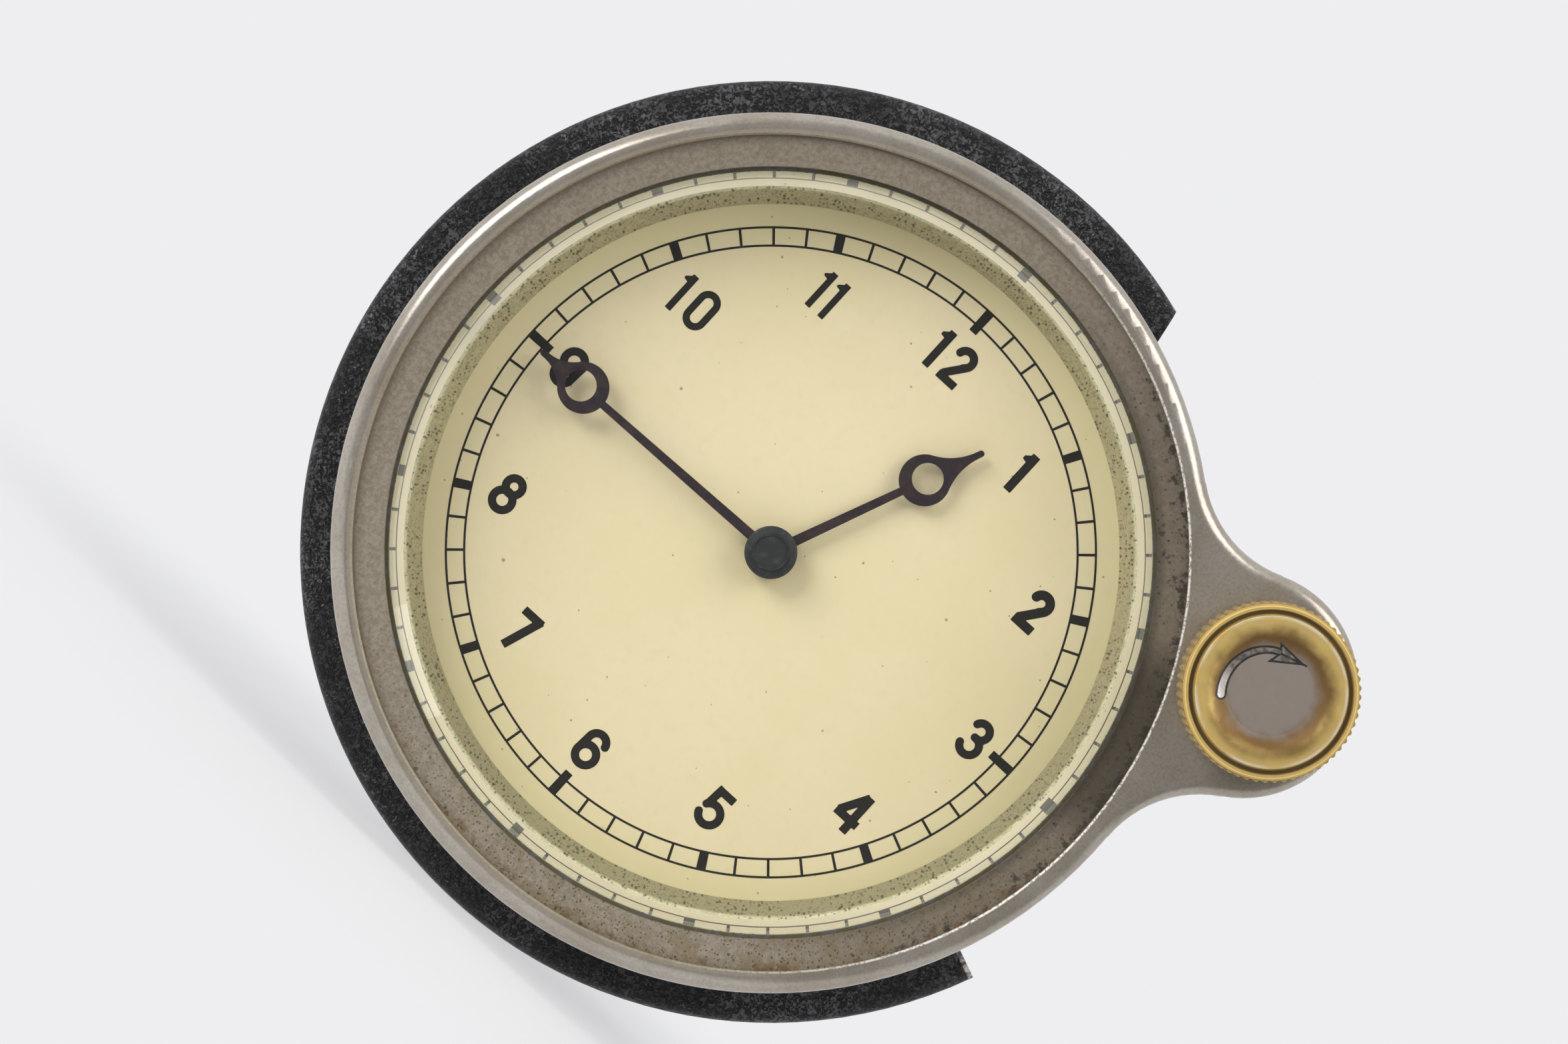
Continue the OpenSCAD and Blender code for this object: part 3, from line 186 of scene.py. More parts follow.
class NodeTree:
    """A node tree. Its calls add nodes and give back their outputs."""

    def __init__(self, tree, output):
        self.nodes = tree.nodes
        self.links = tree.links
        self.output = tree.nodes[output]

    def feed(self, socket, value):
        """Links an output to a socket, or sets the socket's own value."""
        if isinstance(value, bpy.types.NodeSocket):
            self.links.new(value, socket)
        else:
            socket.default_value = value

    def vector(self, operation, a, b=None, scale=None, out=0):
        node = self.nodes.new("ShaderNodeVectorMath")
        node.operation = operation
        self.feed(node.inputs[0], a)
        if b is not None:
            self.feed(node.inputs[1], b)
        if scale is not None:
            node.inputs["Scale"].default_value = scale
        return node.outputs[out]

    def calc(self, operation, a, b):
        node = self.nodes.new("ShaderNodeMath")
        node.operation = operation
        self.feed(node.inputs[0], a)
        self.feed(node.inputs[1], b)
        return node.outputs[0]

    def both(self, a, b):
        return self.calc("MULTIPLY", a, b)

    def part(self, value, low, high):
        """Value from low to high as 0 to 1, smoothly; high may be the smaller one."""
        node = self.nodes.new("ShaderNodeMapRange")
        node.interpolation_type = "SMOOTHSTEP"
        self.links.new(value, node.inputs["Value"])
        node.inputs["From Min"].default_value = min(low, high)
        node.inputs["From Max"].default_value = max(low, high)
        node.inputs["To Min"].default_value = 1.0 if low > high else 0.0
        node.inputs["To Max"].default_value = 0.0 if low > high else 1.0
        return node.outputs["Result"]

    def within(self, value, start, full, last, end):
        """1 from full to last, falling smoothly to 0 at start and at end."""
        return self.both(self.part(value, start, full), self.part(value, end, last))

    def span(self, value, low, high):
        """Value from 0 to 1 as low to high."""
        node = self.nodes.new("ShaderNodeMapRange")
        self.links.new(value, node.inputs["Value"])
        node.inputs["To Min"].default_value = low
        node.inputs["To Max"].default_value = high
        return node.outputs["Result"]

    def rays(self, *kinds):
        """1 for rays of these kinds."""
        path = self.nodes.new("ShaderNodeLightPath")
        found = [path.outputs[f"Is {kind} Ray"] for kind in kinds]
        total = found[0]
        for kind in found[1:]:
            total = self.calc("MAXIMUM", total, kind)
        return total

    def seen_directly(self):
        """1 for rays that show the background: from the camera, in reflections and through glass."""
        return self.rays("Camera", "Glossy", "Transmission")

    def either(self, share, a, b):
        """A shader that goes from a to b as share goes from 0 to 1."""
        node = self.nodes.new("ShaderNodeMixShader")
        self.links.new(share, node.inputs[0])
        self.links.new(a.outputs[0], node.inputs[1])
        self.links.new(b.outputs[0], node.inputs[2])
        return node

    def show(self, shader):
        self.links.new(shader.outputs[0], self.output.inputs["Surface"])


class Finish(NodeTree):
    """A procedural material. Places are in mm, in the frame's axes."""

    def __init__(self, name, metallic=0.0, roughness=0.5):
        self.material = bpy.data.materials.new(name)
        self.material.use_nodes = True
        super().__init__(self.material.node_tree, "Material Output")
        self.shader = self.nodes["Principled BSDF"]
        self.set(Metallic=metallic, Roughness=roughness)
        coords = self.nodes.new("ShaderNodeTexCoord").outputs["Object"]
        self.place = self.vector("SCALE", coords, scale=1 / MM)
        self.flat = self.vector("MULTIPLY", self.place, (1, 0, 1))
        self.base = None

    def set(self, **values):
        for name, value in values.items():
            self.shader.inputs[name.replace("_", " ")].default_value = value

    def noise(self, scale, detail=2.0, rough=0.5, twist=0.0):
        node = self.nodes.new("ShaderNodeTexNoise")
        self.links.new(self.place, node.inputs["Vector"])
        node.inputs["Scale"].default_value = scale
        node.inputs["Detail"].default_value = detail
        node.inputs["Roughness"].default_value = rough
        node.inputs["Distortion"].default_value = twist
        return node.outputs["Fac"]

    def mix(self, share, a, b):
        node = self.nodes.new("ShaderNodeMix")
        node.data_type = "RGBA"
        self.feed(node.inputs[0], share)
        self.feed(node.inputs[6], a)
        self.feed(node.inputs[7], b)
        return node.outputs[2]

    def axis(self, name):
        node = self.nodes.new("ShaderNodeSeparateXYZ")
        self.links.new(self.place, node.inputs[0])
        return node.outputs[name]

    def height(self):
        """Distance from the panel towards the viewer."""
        return self.both(self.axis("Y"), -1.0)

    def away(self, x, y):
        """The way from an axis along the viewing direction, through x and y in clock coordinates."""
        return self.vector("SUBTRACT", self.flat, (x, 0, y))

    def radius(self, x=0.0, y=0.0):
        """Distance from such an axis."""
        return self.vector("LENGTH", self.away(x, y), out="Value")

    def towards(self, side, x=0.0, y=0.0):
        """Distance from such an axis in one direction."""
        return self.vector("DOT_PRODUCT", self.away(x, y), side, out="Value")

    def facing(self, side):
        """How well a place lies on one side of the clock: 1 straight on it, -1 opposite to it."""
        return self.vector("DOT_PRODUCT", self.vector("NORMALIZE", self.flat), side, out="Value")

    def sheet(self, u, v):
        """Two lengths in mm as a place on a surface."""
        node = self.nodes.new("ShaderNodeCombineXYZ")
        self.links.new(u, node.inputs["X"])
        self.links.new(v, node.inputs["Y"])
        return node.outputs[0]

    def front(self):
        """Places on a surface that faces the viewer."""
        return self.sheet(self.axis("X"), self.axis("Z"))

    def wall(self, r, stretch):
        """Places on a wall round the clock's axis, where dots come out longer in depth."""
        turn = self.calc("ARCTAN2", self.axis("X"), self.axis("Z"))
        return self.sheet(self.both(turn, r), self.both(self.axis("Y"), 1 / stretch))

    def specks(self, surface, scale, size, share):
        """Dots of up to a radius in mm, in a share of the cells of a grid of so many cells per mm."""
        cells = self.nodes.new("ShaderNodeTexVoronoi")
        cells.voronoi_dimensions = "2D"
        cells.inputs["Scale"].default_value = scale
        self.links.new(surface, cells.inputs["Vector"])
        chance = self.nodes.new("ShaderNodeSeparateColor")
        self.links.new(cells.outputs["Color"], chance.inputs[0])
        uneven = self.span(self.noise(4.0), -0.1 * scale, 0.1 * scale)
        ragged = self.calc("ADD", cells.outputs["Distance"], uneven)
        reach = self.span(chance.outputs[1], 0.4 * size * scale, size * scale)
        near = self.part(self.calc("SUBTRACT", ragged, reach), 0.0, -0.05 * scale)
        return self.both(near, self.part(chance.outputs[0], 1 - share, 1.002 - share))

    def coat(self, colour, mask=None, share=1.0):
        """Lays a colour over those that are there, by a share where the mask is 1."""
        if mask is not None:
            colour = self.mix(self.both(mask, share), self.base, colour)
        self.base = colour
        self.feed(self.shader.inputs["Base Color"], colour)

    def rough(self, value):
        self.links.new(value, self.shader.inputs["Roughness"])

    def metal(self, value):
        self.links.new(value, self.shader.inputs["Metallic"])

    def bump(self, height, depth, strength=1.0):
        """Relief of a height of 0 to 1 over a depth in mm."""
        node = self.nodes.new("ShaderNodeBump")
        node.inputs["Strength"].default_value = strength
        node.inputs["Distance"].default_value = depth * MM
        self.links.new(height, node.inputs["Height"])
        self.links.new(node.outputs["Normal"], self.shader.inputs["Normal"])


# Finishes

def dial_cream():
    """Aged cream paint, clouded and specked with brown, with painted shade at its edge by the reflector's
    wall.
    """
    f = Finish("dial_cream", roughness=0.42)
    f.coat(CREAM)
    f.coat(CREAM_WARM, f.part(f.noise(0.05, 3), 0.35, 0.7))
    # Painted shade: the dial darkens towards the reflector's wall
    f.coat(CREAM_SHADE_AND_CLOUD, f.part(f.radius(), DIAL_SHADE_IN, DIAL_SHADE_OUT), 0.5)
    f.coat(CREAM_SHADE_AND_CLOUD, f.part(f.noise(0.9, 4, 0.6), 0.5, 0.7), 0.2)
    f.coat(SPECK, f.specks(f.front(), 0.11, 0.22, 0.3), 0.6)
    f.coat(SPECK, f.specks(f.front(), 0.3, 0.14, 0.2), 0.6)
    f.bump(f.noise(3.0, 3), 0.01, 0.25)
    return f.material


def speckled_ring():
    """Pale enamel, dirty at the clock's foot and dotted with rust."""
    f = Finish("speckled_ring")
    grain = f.noise(3.4, 3, 0.6)
    f.coat(RING_OLIVE)
    f.coat(RING_DIRT, f.part(f.towards(RING_DIRT_SIDE), -15, 30))
    f.coat(RING_PALE, f.part(f.height(), PALE_START, PALE_FULL))
    f.coat(RING_DIRT, f.part(f.noise(1.1, 4, 0.65), 0.42, 0.62), 0.35)
    f.coat(RING_PIT, f.part(grain, 0.54, 0.62), 0.5)
    wall = f.wall(RING_R, 2.5)
    dots = f.both(f.specks(wall, 2.5, 0.18, 0.5), f.part(f.noise(0.3, 3), 0.38, 0.54))
    f.coat(RING_PIT, f.calc("MAXIMUM", dots, f.specks(wall, 1.1, 0.18, 0.35)), 0.9)
    f.bump(grain, 0.05, 0.5)
    return f.material


def worn_nickel():
    """Worn nickel plate: matte, pitted and stained on the bezel's band, smoother and brighter outside it.
    The band and the bead's inner chamfer also carry painted shade, and the bead a painted highlight.
    """
    f = Finish("worn_nickel")
    r = f.radius()
    band = f.within(r, SIGHT_R - 0.4, SIGHT_R - 0.1, BEAD_R - 0.05, BEAD_R + 0.05)
    f.coat(NICKEL)
    f.coat(NICKEL_GREY, f.part(f.noise(0.12, 4, 0.6), 0.36, 0.66), 0.8)
    f.coat(NICKEL_BROWN, f.both(f.part(f.noise(3.0, 4, 0.7), 0.45, 0.6), f.span(band, 0.18, 0.0)))
    f.coat(f.mix(f.part(f.noise(2.2, 5, 0.75), 0.38, 0.62), BAND_GREY, BAND_DULL), band)
    # The side towards the knob is the dirtiest, most of all in the corner below the bead, and has painted
    # shade by the lip
    knob_side = f.part(f.towards(KNOB_SIDE), 8, 36)
    corner = f.part(r, BEAD_R - 1.4, BEAD_R - 0.2)
    f.coat(NICKEL_BROWN, f.both(band, f.calc("MAXIMUM", f.both(knob_side, 0.62), f.both(corner, 0.3))))
    # Painted shade: the band darkens next to the lip's inner edge on the knob side
    shade = f.both(f.both(band, knob_side), f.part(r, SIGHT_R + 1.2, SIGHT_R))
    f.coat(NICKEL_PIT_AND_SHADE, shade, 0.45)
    f.coat(NICKEL_PIT_AND_SHADE, f.both(band, f.part(f.facing(BELOW_KNOB), 0.955, 0.99)), 0.62)
    clean = f.span(f.both(knob_side, f.span(corner, 0.55, 1.0)), 0.68, 0.44)
    blotch = f.both(band, f.part(f.calc("SUBTRACT", f.noise(0.9, 5, 0.75), clean), 0.0, 0.13))
    f.coat(NICKEL_PIT_AND_SHADE, blotch, 0.9)
    # A bright edge runs along the bead there, partly wear and partly a painted highlight, and on the other
    # sides the bead's inner chamfer is dull and has painted shade
    edge = f.within(r, BEAD_R - 0.02, BEAD_R + 0.06, BEAD_R + 0.2, BEAD_R + 0.3)
    edge = f.both(edge, f.part(f.noise(3.5), 0.4, 0.52))
    f.coat(NICKEL_WEAR_AND_HIGHLIGHT, f.both(edge, f.span(knob_side, 0.15, 1.0)))
    # Painted shade: the bead's inner chamfer away from the knob is darkened
    chamfer = f.within(r, BEAD_R - 0.3, BEAD_R - 0.1, BEAD_R + 0.5, BEAD_R + 0.65)
    chamfer = f.both(chamfer, f.span(knob_side, 1.0, 0.0))
    f.coat(STAIN_AND_SHADE, chamfer, 0.45)
    # The clock's foot is stained and rusty
    foot = f.part(f.towards(FOOT_SIDE), 10, 40)
    low_band = f.both(band, foot)
    f.coat(STAIN_AND_SHADE, f.both(low_band, f.part(f.noise(0.4, 4, 0.7), 0.44, 0.62)), 0.5)
    f.coat(RUST, f.both(low_band, f.both(corner, f.part(f.noise(0.7, 4, 0.7), 0.5, 0.6))), 0.7)
    front = f.front()
    coarse = f.calc("MAXIMUM", f.specks(front, 1.3, 0.16, 0.4), f.specks(front, 0.35, 0.3, 0.3))
    coarse = f.both(coarse, f.span(f.calc("MAXIMUM", foot, knob_side), 0.2, 1.0))
    pits = f.calc("MAXIMUM", coarse, f.both(f.specks(front, 2.6, 0.13, 0.5), foot))
    pits = f.both(pits, f.span(band, 0.1, 0.75))
    f.coat(NICKEL_PIT_AND_SHADE, pits)
    f.metal(f.both(f.span(band, 0.62, 0.5), f.span(f.calc("MAXIMUM", blotch, pits), 1.0, 0.3)))
    rough = f.calc("MAXIMUM", f.span(band, 0.15, 0.4), f.both(chamfer, 0.5))
    f.rough(f.calc("ADD", rough, f.both(f.noise(0.8, 4), 0.16)))
    f.bump(f.noise(6.0, 3, 0.6), 0.03, 0.35)
    return f.material


def black_crackle():
    """Black crackle paint with wear on its high spots and painted glints, and bare metal on the flange's
    square-cut end.
    """
    f = Finish("black_crackle")
    lumps = f.noise(1.9, 3, 0.6, twist=1.2)
    f.coat(BLACK_PAINT)
    worn = f.both(f.part(lumps, 0.47, 0.6), f.span(f.part(f.noise(0.1), 0.4, 0.6), 0.35, 1.0))
    f.coat(BLACK_WORN, worn, 0.95)
    # Painted glints: pale grey dots stand in for sparkles of light on the crackle
    glint = f.both(f.part(f.noise(2.8), 0.6, 0.7), f.part(f.noise(0.35, 3), 0.45, 0.65))
    f.coat(BLACK_GLINT, glint, 0.5)
    outside = f.both(f.part(f.axis("X"), FLANGE_END_X, FLANGE_END_X + 1),
                     f.part(f.radius(), FLANGE_END_R, FLANGE_END_R + 0.3))
    bare = f.both(f.within(f.towards(FLANGE_END), -0.55, -0.4, 0.2, 0.3), outside)
    f.coat(f.mix(f.part(f.noise(1.2, 3), 0.4, 0.6), SILVER, STEEL_DARK), bare)
    f.metal(f.both(bare, 0.4))
    f.set(Specular_IOR_Level=0.24)
    f.rough(f.span(f.noise(5.0, 3, 0.7), 0.24, 0.44))
    f.bump(lumps, 0.5)
    return f.material


def knob_brass():
    """Brass, brightest on the ring's crest and the rim, that wears to grey in the middle.
    The crest's edge by the groove has a painted highlight, and the groove has painted shade.
    """
    f = Finish("knob_brass", metallic=0.6)
    r = f.radius(KNOB_X, KNOB_Y)
    f.coat(BRASS_LIGHT)
    f.coat(BRASS, f.part(f.noise(0.6, 4, 0.6), 0.4, 0.62), 0.3)
    wavy = f.calc("ADD", r, f.span(f.noise(0.4, 3), -0.9, 0.9))
    f.coat(BRASS_DARK, f.part(wavy, CREST_R - 0.1, CREST_R - 1.7))
    low = f.part(f.towards(KNOB_FOOT, KNOB_X, KNOB_Y), 1.5, 5.5)
    f.coat(BRASS_DARK, f.both(low, f.part(r, CREST_R + 0.3, CREST_R - 0.7)), 0.4)
    f.coat(KNOB_GREY, f.part(wavy, WORN_EDGE_R, WORN_R))
    # Painted shade: the deep part of the groove is painted dark
    groove = f.within(r, GROOVE_IN, GROOVE_IN + 0.2, GROOVE_OUT - 0.15, GROOVE_OUT + 0.05)
    deep = f.part(f.height(), KNOB_TOP - 0.35, KNOB_TOP - 0.65)
    f.coat(GROOVE, f.both(groove, deep), 0.9)
    between = f.within(r, KNOB_R - 0.45, KNOB_R - 0.35, KNOB_R - 0.25, KNOB_R - 0.1)
    f.coat(BRASS_DARK, between, 0.45)
    # Painted highlight along the crest's edge by the groove
    rim = f.within(r, GROOVE_IN - 0.45, GROOVE_IN - 0.2, GROOVE_IN - 0.1, GROOVE_IN + 0.05)
    f.coat(BRASS_RIM_HIGHLIGHT, f.both(rim, f.part(f.noise(0.3, 3), 0.38, 0.6)), 0.9)
    smooth = f.span(f.part(r, WORN_EDGE_R + 0.2, WORN_EDGE_R + 1.4), 0.45, 0.12)
    f.rough(f.calc("ADD", smooth, f.both(f.noise(2.0, 4), 0.14)))
    f.bump(f.noise(4.0, 3), 0.015, 0.3)
    return f.material


def blued_steel():
    """Blued steel, clouded with brown."""
    f = Finish("blued_steel", metallic=0.55)
    f.coat(BLUED)
    f.coat(BLUED_BROWN, f.part(f.noise(0.9, 4, 0.6), 0.42, 0.68))
    f.rough(f.span(f.noise(2.0, 3), 0.34, 0.56))
    f.bump(f.noise(5.0, 3), 0.012, 0.4)
    return f.material


def satin_black(name):
    f = Finish(name)
    f.coat(BOSS)
    f.coat(BLACK_WORN, f.part(f.noise(1.4, 4), 0.5, 0.75), 0.35)
    f.rough(f.span(f.noise(2.4, 3), 0.3, 0.5))
    f.bump(f.noise(5.0, 3), 0.01, 0.3)
    return f.material


def satin_metal(name, bright, dark, roughness):
    """Turned metal with faint clouding and fine grain."""
    f = Finish(name, metallic=1.0)
    f.coat(bright)
    f.coat(dark, f.part(f.noise(0.3, 4, 0.6), 0.4, 0.75), 0.6)
    f.rough(f.span(f.noise(1.5, 4), roughness - 0.08, roughness + 0.12))
    f.bump(f.noise(6.0), 0.01, 0.3)
    return f.material


def worn_silver():
    """Bright metal at the arrow's tail that turns grey along its shaft."""
    f = Finish("worn_silver", metallic=0.5)
    f.coat(SILVER)
    worn = f.mix(f.part(f.noise(1.6, 3), 0.42, 0.58), KNOB_GREY, KNOB_DULL)
    f.coat(worn, f.part(f.radius(*ARROW_TAIL), 1.4, 3.4))
    f.rough(f.span(f.noise(2.0, 3), 0.2, 0.4))
    return f.material


def rubber():
    f = Finish("gasket_rubber", roughness=0.8)
    f.coat(RUBBER)
    f.coat(BLACK_WORN, f.part(f.noise(1.2, 3), 0.4, 0.7))
    f.bump(f.noise(4.0, 3), 0.02, 0.4)
    return f.material


def clear_glass():
    """Glass with a hazy bevel. Lamps and scattered light pass through it, so what is behind it is lit."""
    f = Finish("clear_glass", roughness=0.0)
    f.set(Transmission_Weight=1.0, IOR=1.52)
    f.coat(GLASS)
    f.coat(GLASS_GREEN, f.part(f.noise(0.04), 0.3, 0.8), 0.2)
    haze = f.nodes.new("ShaderNodeBsdfDiffuse")
    haze.inputs["Color"].default_value = BEVEL_HAZE
    bevel = f.both(f.part(f.radius(), BEVEL_R - 0.05, BEVEL_R + 0.1), f.span(f.noise(0.15, 3), 0.13, 0.3))
    clear = f.nodes.new("ShaderNodeBsdfTransparent")
    clear.inputs["Color"].default_value = GLASS_PASS
    f.show(f.either(f.rays("Shadow", "Diffuse"), f.either(bevel, f.shader, haze), clear))
    return f.material


def printed_ink():
    f = Finish("printed_ink", roughness=0.6)
    f.set(Specular_IOR_Level=0.25)
    f.coat(INK)
    f.coat(INK_WORN, f.part(f.noise(1.8, 4), 0.55, 0.8), 0.3)
    f.bump(f.noise(6.0), 0.004, 0.3)
    return f.material


def dress_solids():
    """Gives every solid its finish."""
    by_slot = {
        "nickel_plate": worn_nickel(),
        "black_crackle": black_crackle(),
        "brass": satin_metal("satin_brass", BRASS, BRASS_DARK, 0.32),
        "steel": satin_metal("satin_steel", STEEL, STEEL_DARK, 0.34),
        "blued_steel": blued_steel(),
        "black_boss": satin_black("satin_black"),
        "dial_cream": dial_cream(),
        "speckled_ring": speckled_ring(),
        "glass": clear_glass(),
        "gasket": rubber(),
    }
    own = {"knob": knob_brass()}
    for part in frame["record"]["subparts"]:
        name = part["node"]
        mesh = SOLIDS[name].data
        mesh.materials.clear()
        mesh.materials.append(own.get(name) or by_slot[part["material_slot"]])


# Flat shapes from signed distances: each shape is a function of x and y that is below zero inside

def turned(x, y, origin, degrees):
    """Coordinates along and across a direction, from an origin."""
    a = math.radians(degrees)
    dx, dy = x - origin[0], y - origin[1]
    return dx * math.cos(a) + dy * math.sin(a), dy * math.cos(a) - dx * math.sin(a)


def stroke(p, q):
    """The length from p to q, and a function that gives coordinates along and across the way."""
    aim = math.degrees(math.atan2(q[1] - p[1], q[0] - p[0]))
    return math.dist(p, q), lambda x, y: turned(x, y, p, aim)


def bar(p, q, width):
    """A stroke with square ends."""
    length, place = stroke(p, q)

    def inside(x, y):
        u, v = place(x, y)
        return np.maximum(np.abs(u - length / 2) - length / 2, np.abs(v) - width / 2)
    return inside


def stick(p, q, width):
    """A stroke with round ends."""
    length, place = stroke(p, q)

    def inside(x, y):
        u, v = place(x, y)
        return np.hypot(u - np.clip(u, 0, length), v) - width / 2
    return inside


def arc(centre, r, start, end, width):
    """A bent stroke with round ends, from start to end in degrees, the way from 3 o'clock towards 12."""
    half = (end - start) / 2

    def inside(x, y):
        u, v = turned(x, y, centre, start + half)
        off = np.degrees(np.arctan2(v, u))
        along = np.abs(np.hypot(u, v) - r)
        tips = [np.hypot(u - r * math.cos(math.radians(a)), v - r * math.sin(math.radians(a)))
                for a in (half, -half)]
        return np.where(np.abs(off) <= half, along, np.minimum(*tips)) - width / 2
    return inside


def sweep(start, end, r0, r1, w0, w1):
    """A stroke round the origin from start to end in degrees, whose radius and width change along it."""
    def inside(x, y):
        turn = np.degrees(np.arctan2(y, x)) % 360 - start % 360
        turn = np.where(turn < -90, turn + 360, turn)
        t = np.clip(turn / (end - start), 0, 1)
        a = np.radians(start + t * (end - start))
        r = r0 + t * (r1 - r0)
        return np.hypot(x - r * np.cos(a), y - r * np.sin(a)) - (w0 + t * (w1 - w0)) / 2
    return inside


def ring(centre, r, width):
    return lambda x, y: np.abs(np.hypot(x - centre[0], y - centre[1]) - r) - width / 2


def stadium(half_height, r, width):
    return lambda x, y: np.abs(np.hypot(x, y - np.clip(y, -half_height, half_height)) - r) - width / 2


def convex(*corners):
    """A filled outline of corners, counted the way from 3 o'clock towards 12."""
    def inside(x, y):
        sides = []
        for p, q in zip(corners, corners[1:] + corners[:1]):
            length = math.dist(p, q)
            sides.append(((x - p[0]) * (q[1] - p[1]) - (y - p[1]) * (q[0] - p[0])) / length)
        return np.maximum.reduce(sides)
    return inside


def joined(*shapes):
    return lambda x, y: np.minimum.reduce([s(x, y) for s in shapes])


def moved(shape, dx, dy):
    return lambda x, y: shape(x - dx, y - dy)


def half_turn(shape):
    return lambda x, y: shape(-x, -y)


def grown(shape, by):
    return lambda x, y: shape(x, y) - by


# Numerals, drawn round their middle
FIGURE_H = 4.65
STROKE = 0.87
STEM = 0.84
TOP = FIGURE_H / 2
LINE = TOP - STROKE / 2


def figure(n):
    """The shape of one figure, in the plain rounded style of the dial."""
    w = STROKE
    if n == 0:
        return stadium(1.0, 0.94, w)
    if n == 1:
        flag = convex((-0.95, 1.28), (-0.3, 1.15), (0.3, 2.2), (-0.05, TOP), (-0.95, 1.62))
        return joined(bar((0, -TOP), (0, TOP), STEM), flag)
    if n == 2:
        bowl = (0, LINE - 0.9)
        turn = polar(0.9, -38) + bowl
        return joined(arc(bowl, 0.9, -38, 168, w), bar(turn, (-0.86, -1.62), w),
                      stick(turn, turn - (0.3, 0.32), w), bar((-1.25, -LINE), (1.15, -LINE), w))
    if n == 3:
        return joined(arc((0, LINE - 0.9), 0.9, -78, 158, w), arc((0, 1.03 - LINE), 1.03, -160, 80, w),
                      stick((-0.1, 0.13), (0.2, 0.13), w))
    if n == 4:
        return joined(bar((0.5, TOP - 0.1), (-1.2, -0.75), w), bar((-1.5, -0.9), (1.4, -0.9), w),
                      bar((0.6, -TOP), (0.6, TOP), w))
    if n == 5:
        return joined(bar((-0.9, LINE), (1.15, LINE), w), bar((-0.68, TOP), (-0.86, 0.0), w),
                      arc((0, 1.15 - LINE), 1.15, -158, 146, w))
    if n == 6:
        return joined(ring((0, 1.1 - LINE), 1.1, w), stick((-0.98, 0.9), (-1.08, -0.75), w),
                      arc((0.02, LINE - 1.0), 1.0, 12, 180, w))
    if n == 7:
        return joined(bar((-1.25, LINE), (1.25, LINE), w), bar((0.98, TOP - 0.2), (-0.5, -TOP + 0.04), w))
    if n == 8:
        return joined(ring((0, LINE - 0.88), 0.88, w), ring((0, 1.06 - LINE), 1.06, w))
    return half_turn(figure(6))


# Distance between the two figures of the numbers from 10 on
PAIR_STEP = {10: 2.78, 11: 1.79, 12: 2.73}
# Distance of each number's middle from the clock's axis
NUMBER_R = {1: 27.3, 2: 28.1, 3: 28.7, 4: 28.2, 5: 27.3, 6: 27.7, 7: 27.2, 8: 28.0, 9: 28.4, 10: 27.3,
            11: 27.3, 12: 27.4}
# How much bolder or finer than the others some numbers are, in mm on each side of their strokes
NUMBER_GROW = {1: 0.045, 2: 0.07, 4: 0.02, 7: 0.02, 10: -0.055, 11: -0.07}


def number(n):
    if n < 10:
        return figure(n)
    step = PAIR_STEP[n]
    return joined(moved(figure(1), -step / 2, 0), moved(figure(n - 10), step / 2, 0))


# Pieces made here

def mesh_object(name, bm, material):
    mesh = bpy.data.meshes.new(name)
    bm.to_mesh(mesh)
    bm.free()
    mesh.materials.append(material)
    made = bpy.data.objects.new(name, mesh)
    SCENE.collection.objects.link(made)
    return made


def film(name, bm, material, body, thick):
    """A flat piece with a thickness in mm that rides on a body."""
    made = mesh_object(name, bm, material)
    solid = made.modifiers.new("thickness", "SOLIDIFY")
    solid.thickness = thick * MM
    solid.offset = 0.0
    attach(made, body)


def trace(bm, shape, reach, cell, lift):
    """Adds the area where shape is below zero, cut along its edge in square cells.

    It looks as far as reach from the middle, and lift gives each point's place.
    """
    nx, ny = (int(math.ceil(2 * reach[i] / cell)) + 1 for i in (0, 1))
    xs = cell * np.arange(nx) - reach[0]
    ys = cell * np.arange(ny) - reach[1]
    value = shape(*np.meshgrid(xs, ys, indexing="ij"))
    made = {}

    def point(key, x, y):
        if key not in made:
            made[key] = bm.verts.new(lift(x, y))
        return made[key]

    lowest = np.minimum.reduce([value[:-1, :-1], value[1:, :-1], value[:-1, 1:], value[1:, 1:]])
    for i, j in np.argwhere(lowest < 0):
        corners = [(i, j), (i + 1, j), (i + 1, j + 1), (i, j + 1)]
        outline = []
        for a, b in zip(corners, corners[1:] + corners[:1]):
            va, vb = value[a], value[b]
            if va < 0:
                outline.append(point(a, xs[a[0]], ys[a[1]]))
            if (va < 0) != (vb < 0):
                t = va / (va - vb)
                outline.append(point(tuple(sorted((a, b))), xs[a[0]] + t * (xs[b[0]] - xs[a[0]]),
                                     ys[a[1]] + t * (ys[b[1]] - ys[a[1]])))
        if len(outline) > 2:
            bm.faces.new(outline)


# Dial print: the ink's thickness and height, and the cell and reach in which a number is traced
PRINT_T = 0.024
PRINT_Z = DIAL_FACE + 0.006
NUMBER_CELL = 0.065
NUMBER_REACH = (3.2, 2.6)

# Minute track: radii and width of its circles, widths of a minute's and an hour's mark, how far the marks
# of the quarters run inwards, and the straight steps from one mark to the next
TRACK_OUT = 33.75
TRACK_IN = 31.85
TRACK_LINE = 0.23
TICK_W = 0.28
HOUR_W = 0.98
QUARTER_IN = 0.75
TRACK_STEPS = 4


def dial_numbers(ink):
    """The twelve numbers, upright on the dial, as a film of ink."""
    bm = bmesh.new()
    for n, r in NUMBER_R.items():
        middle = polar(r, 90 - 30 * n)
        shape = grown(number(n), NUMBER_GROW.get(n, 0.0))
        trace(bm, shape, NUMBER_REACH, NUMBER_CELL,
              lambda x, y: frame_point(middle[0] + x, middle[1] + y, PRINT_Z))
    film("dial_numbers", bm, ink, "case", PRINT_T)


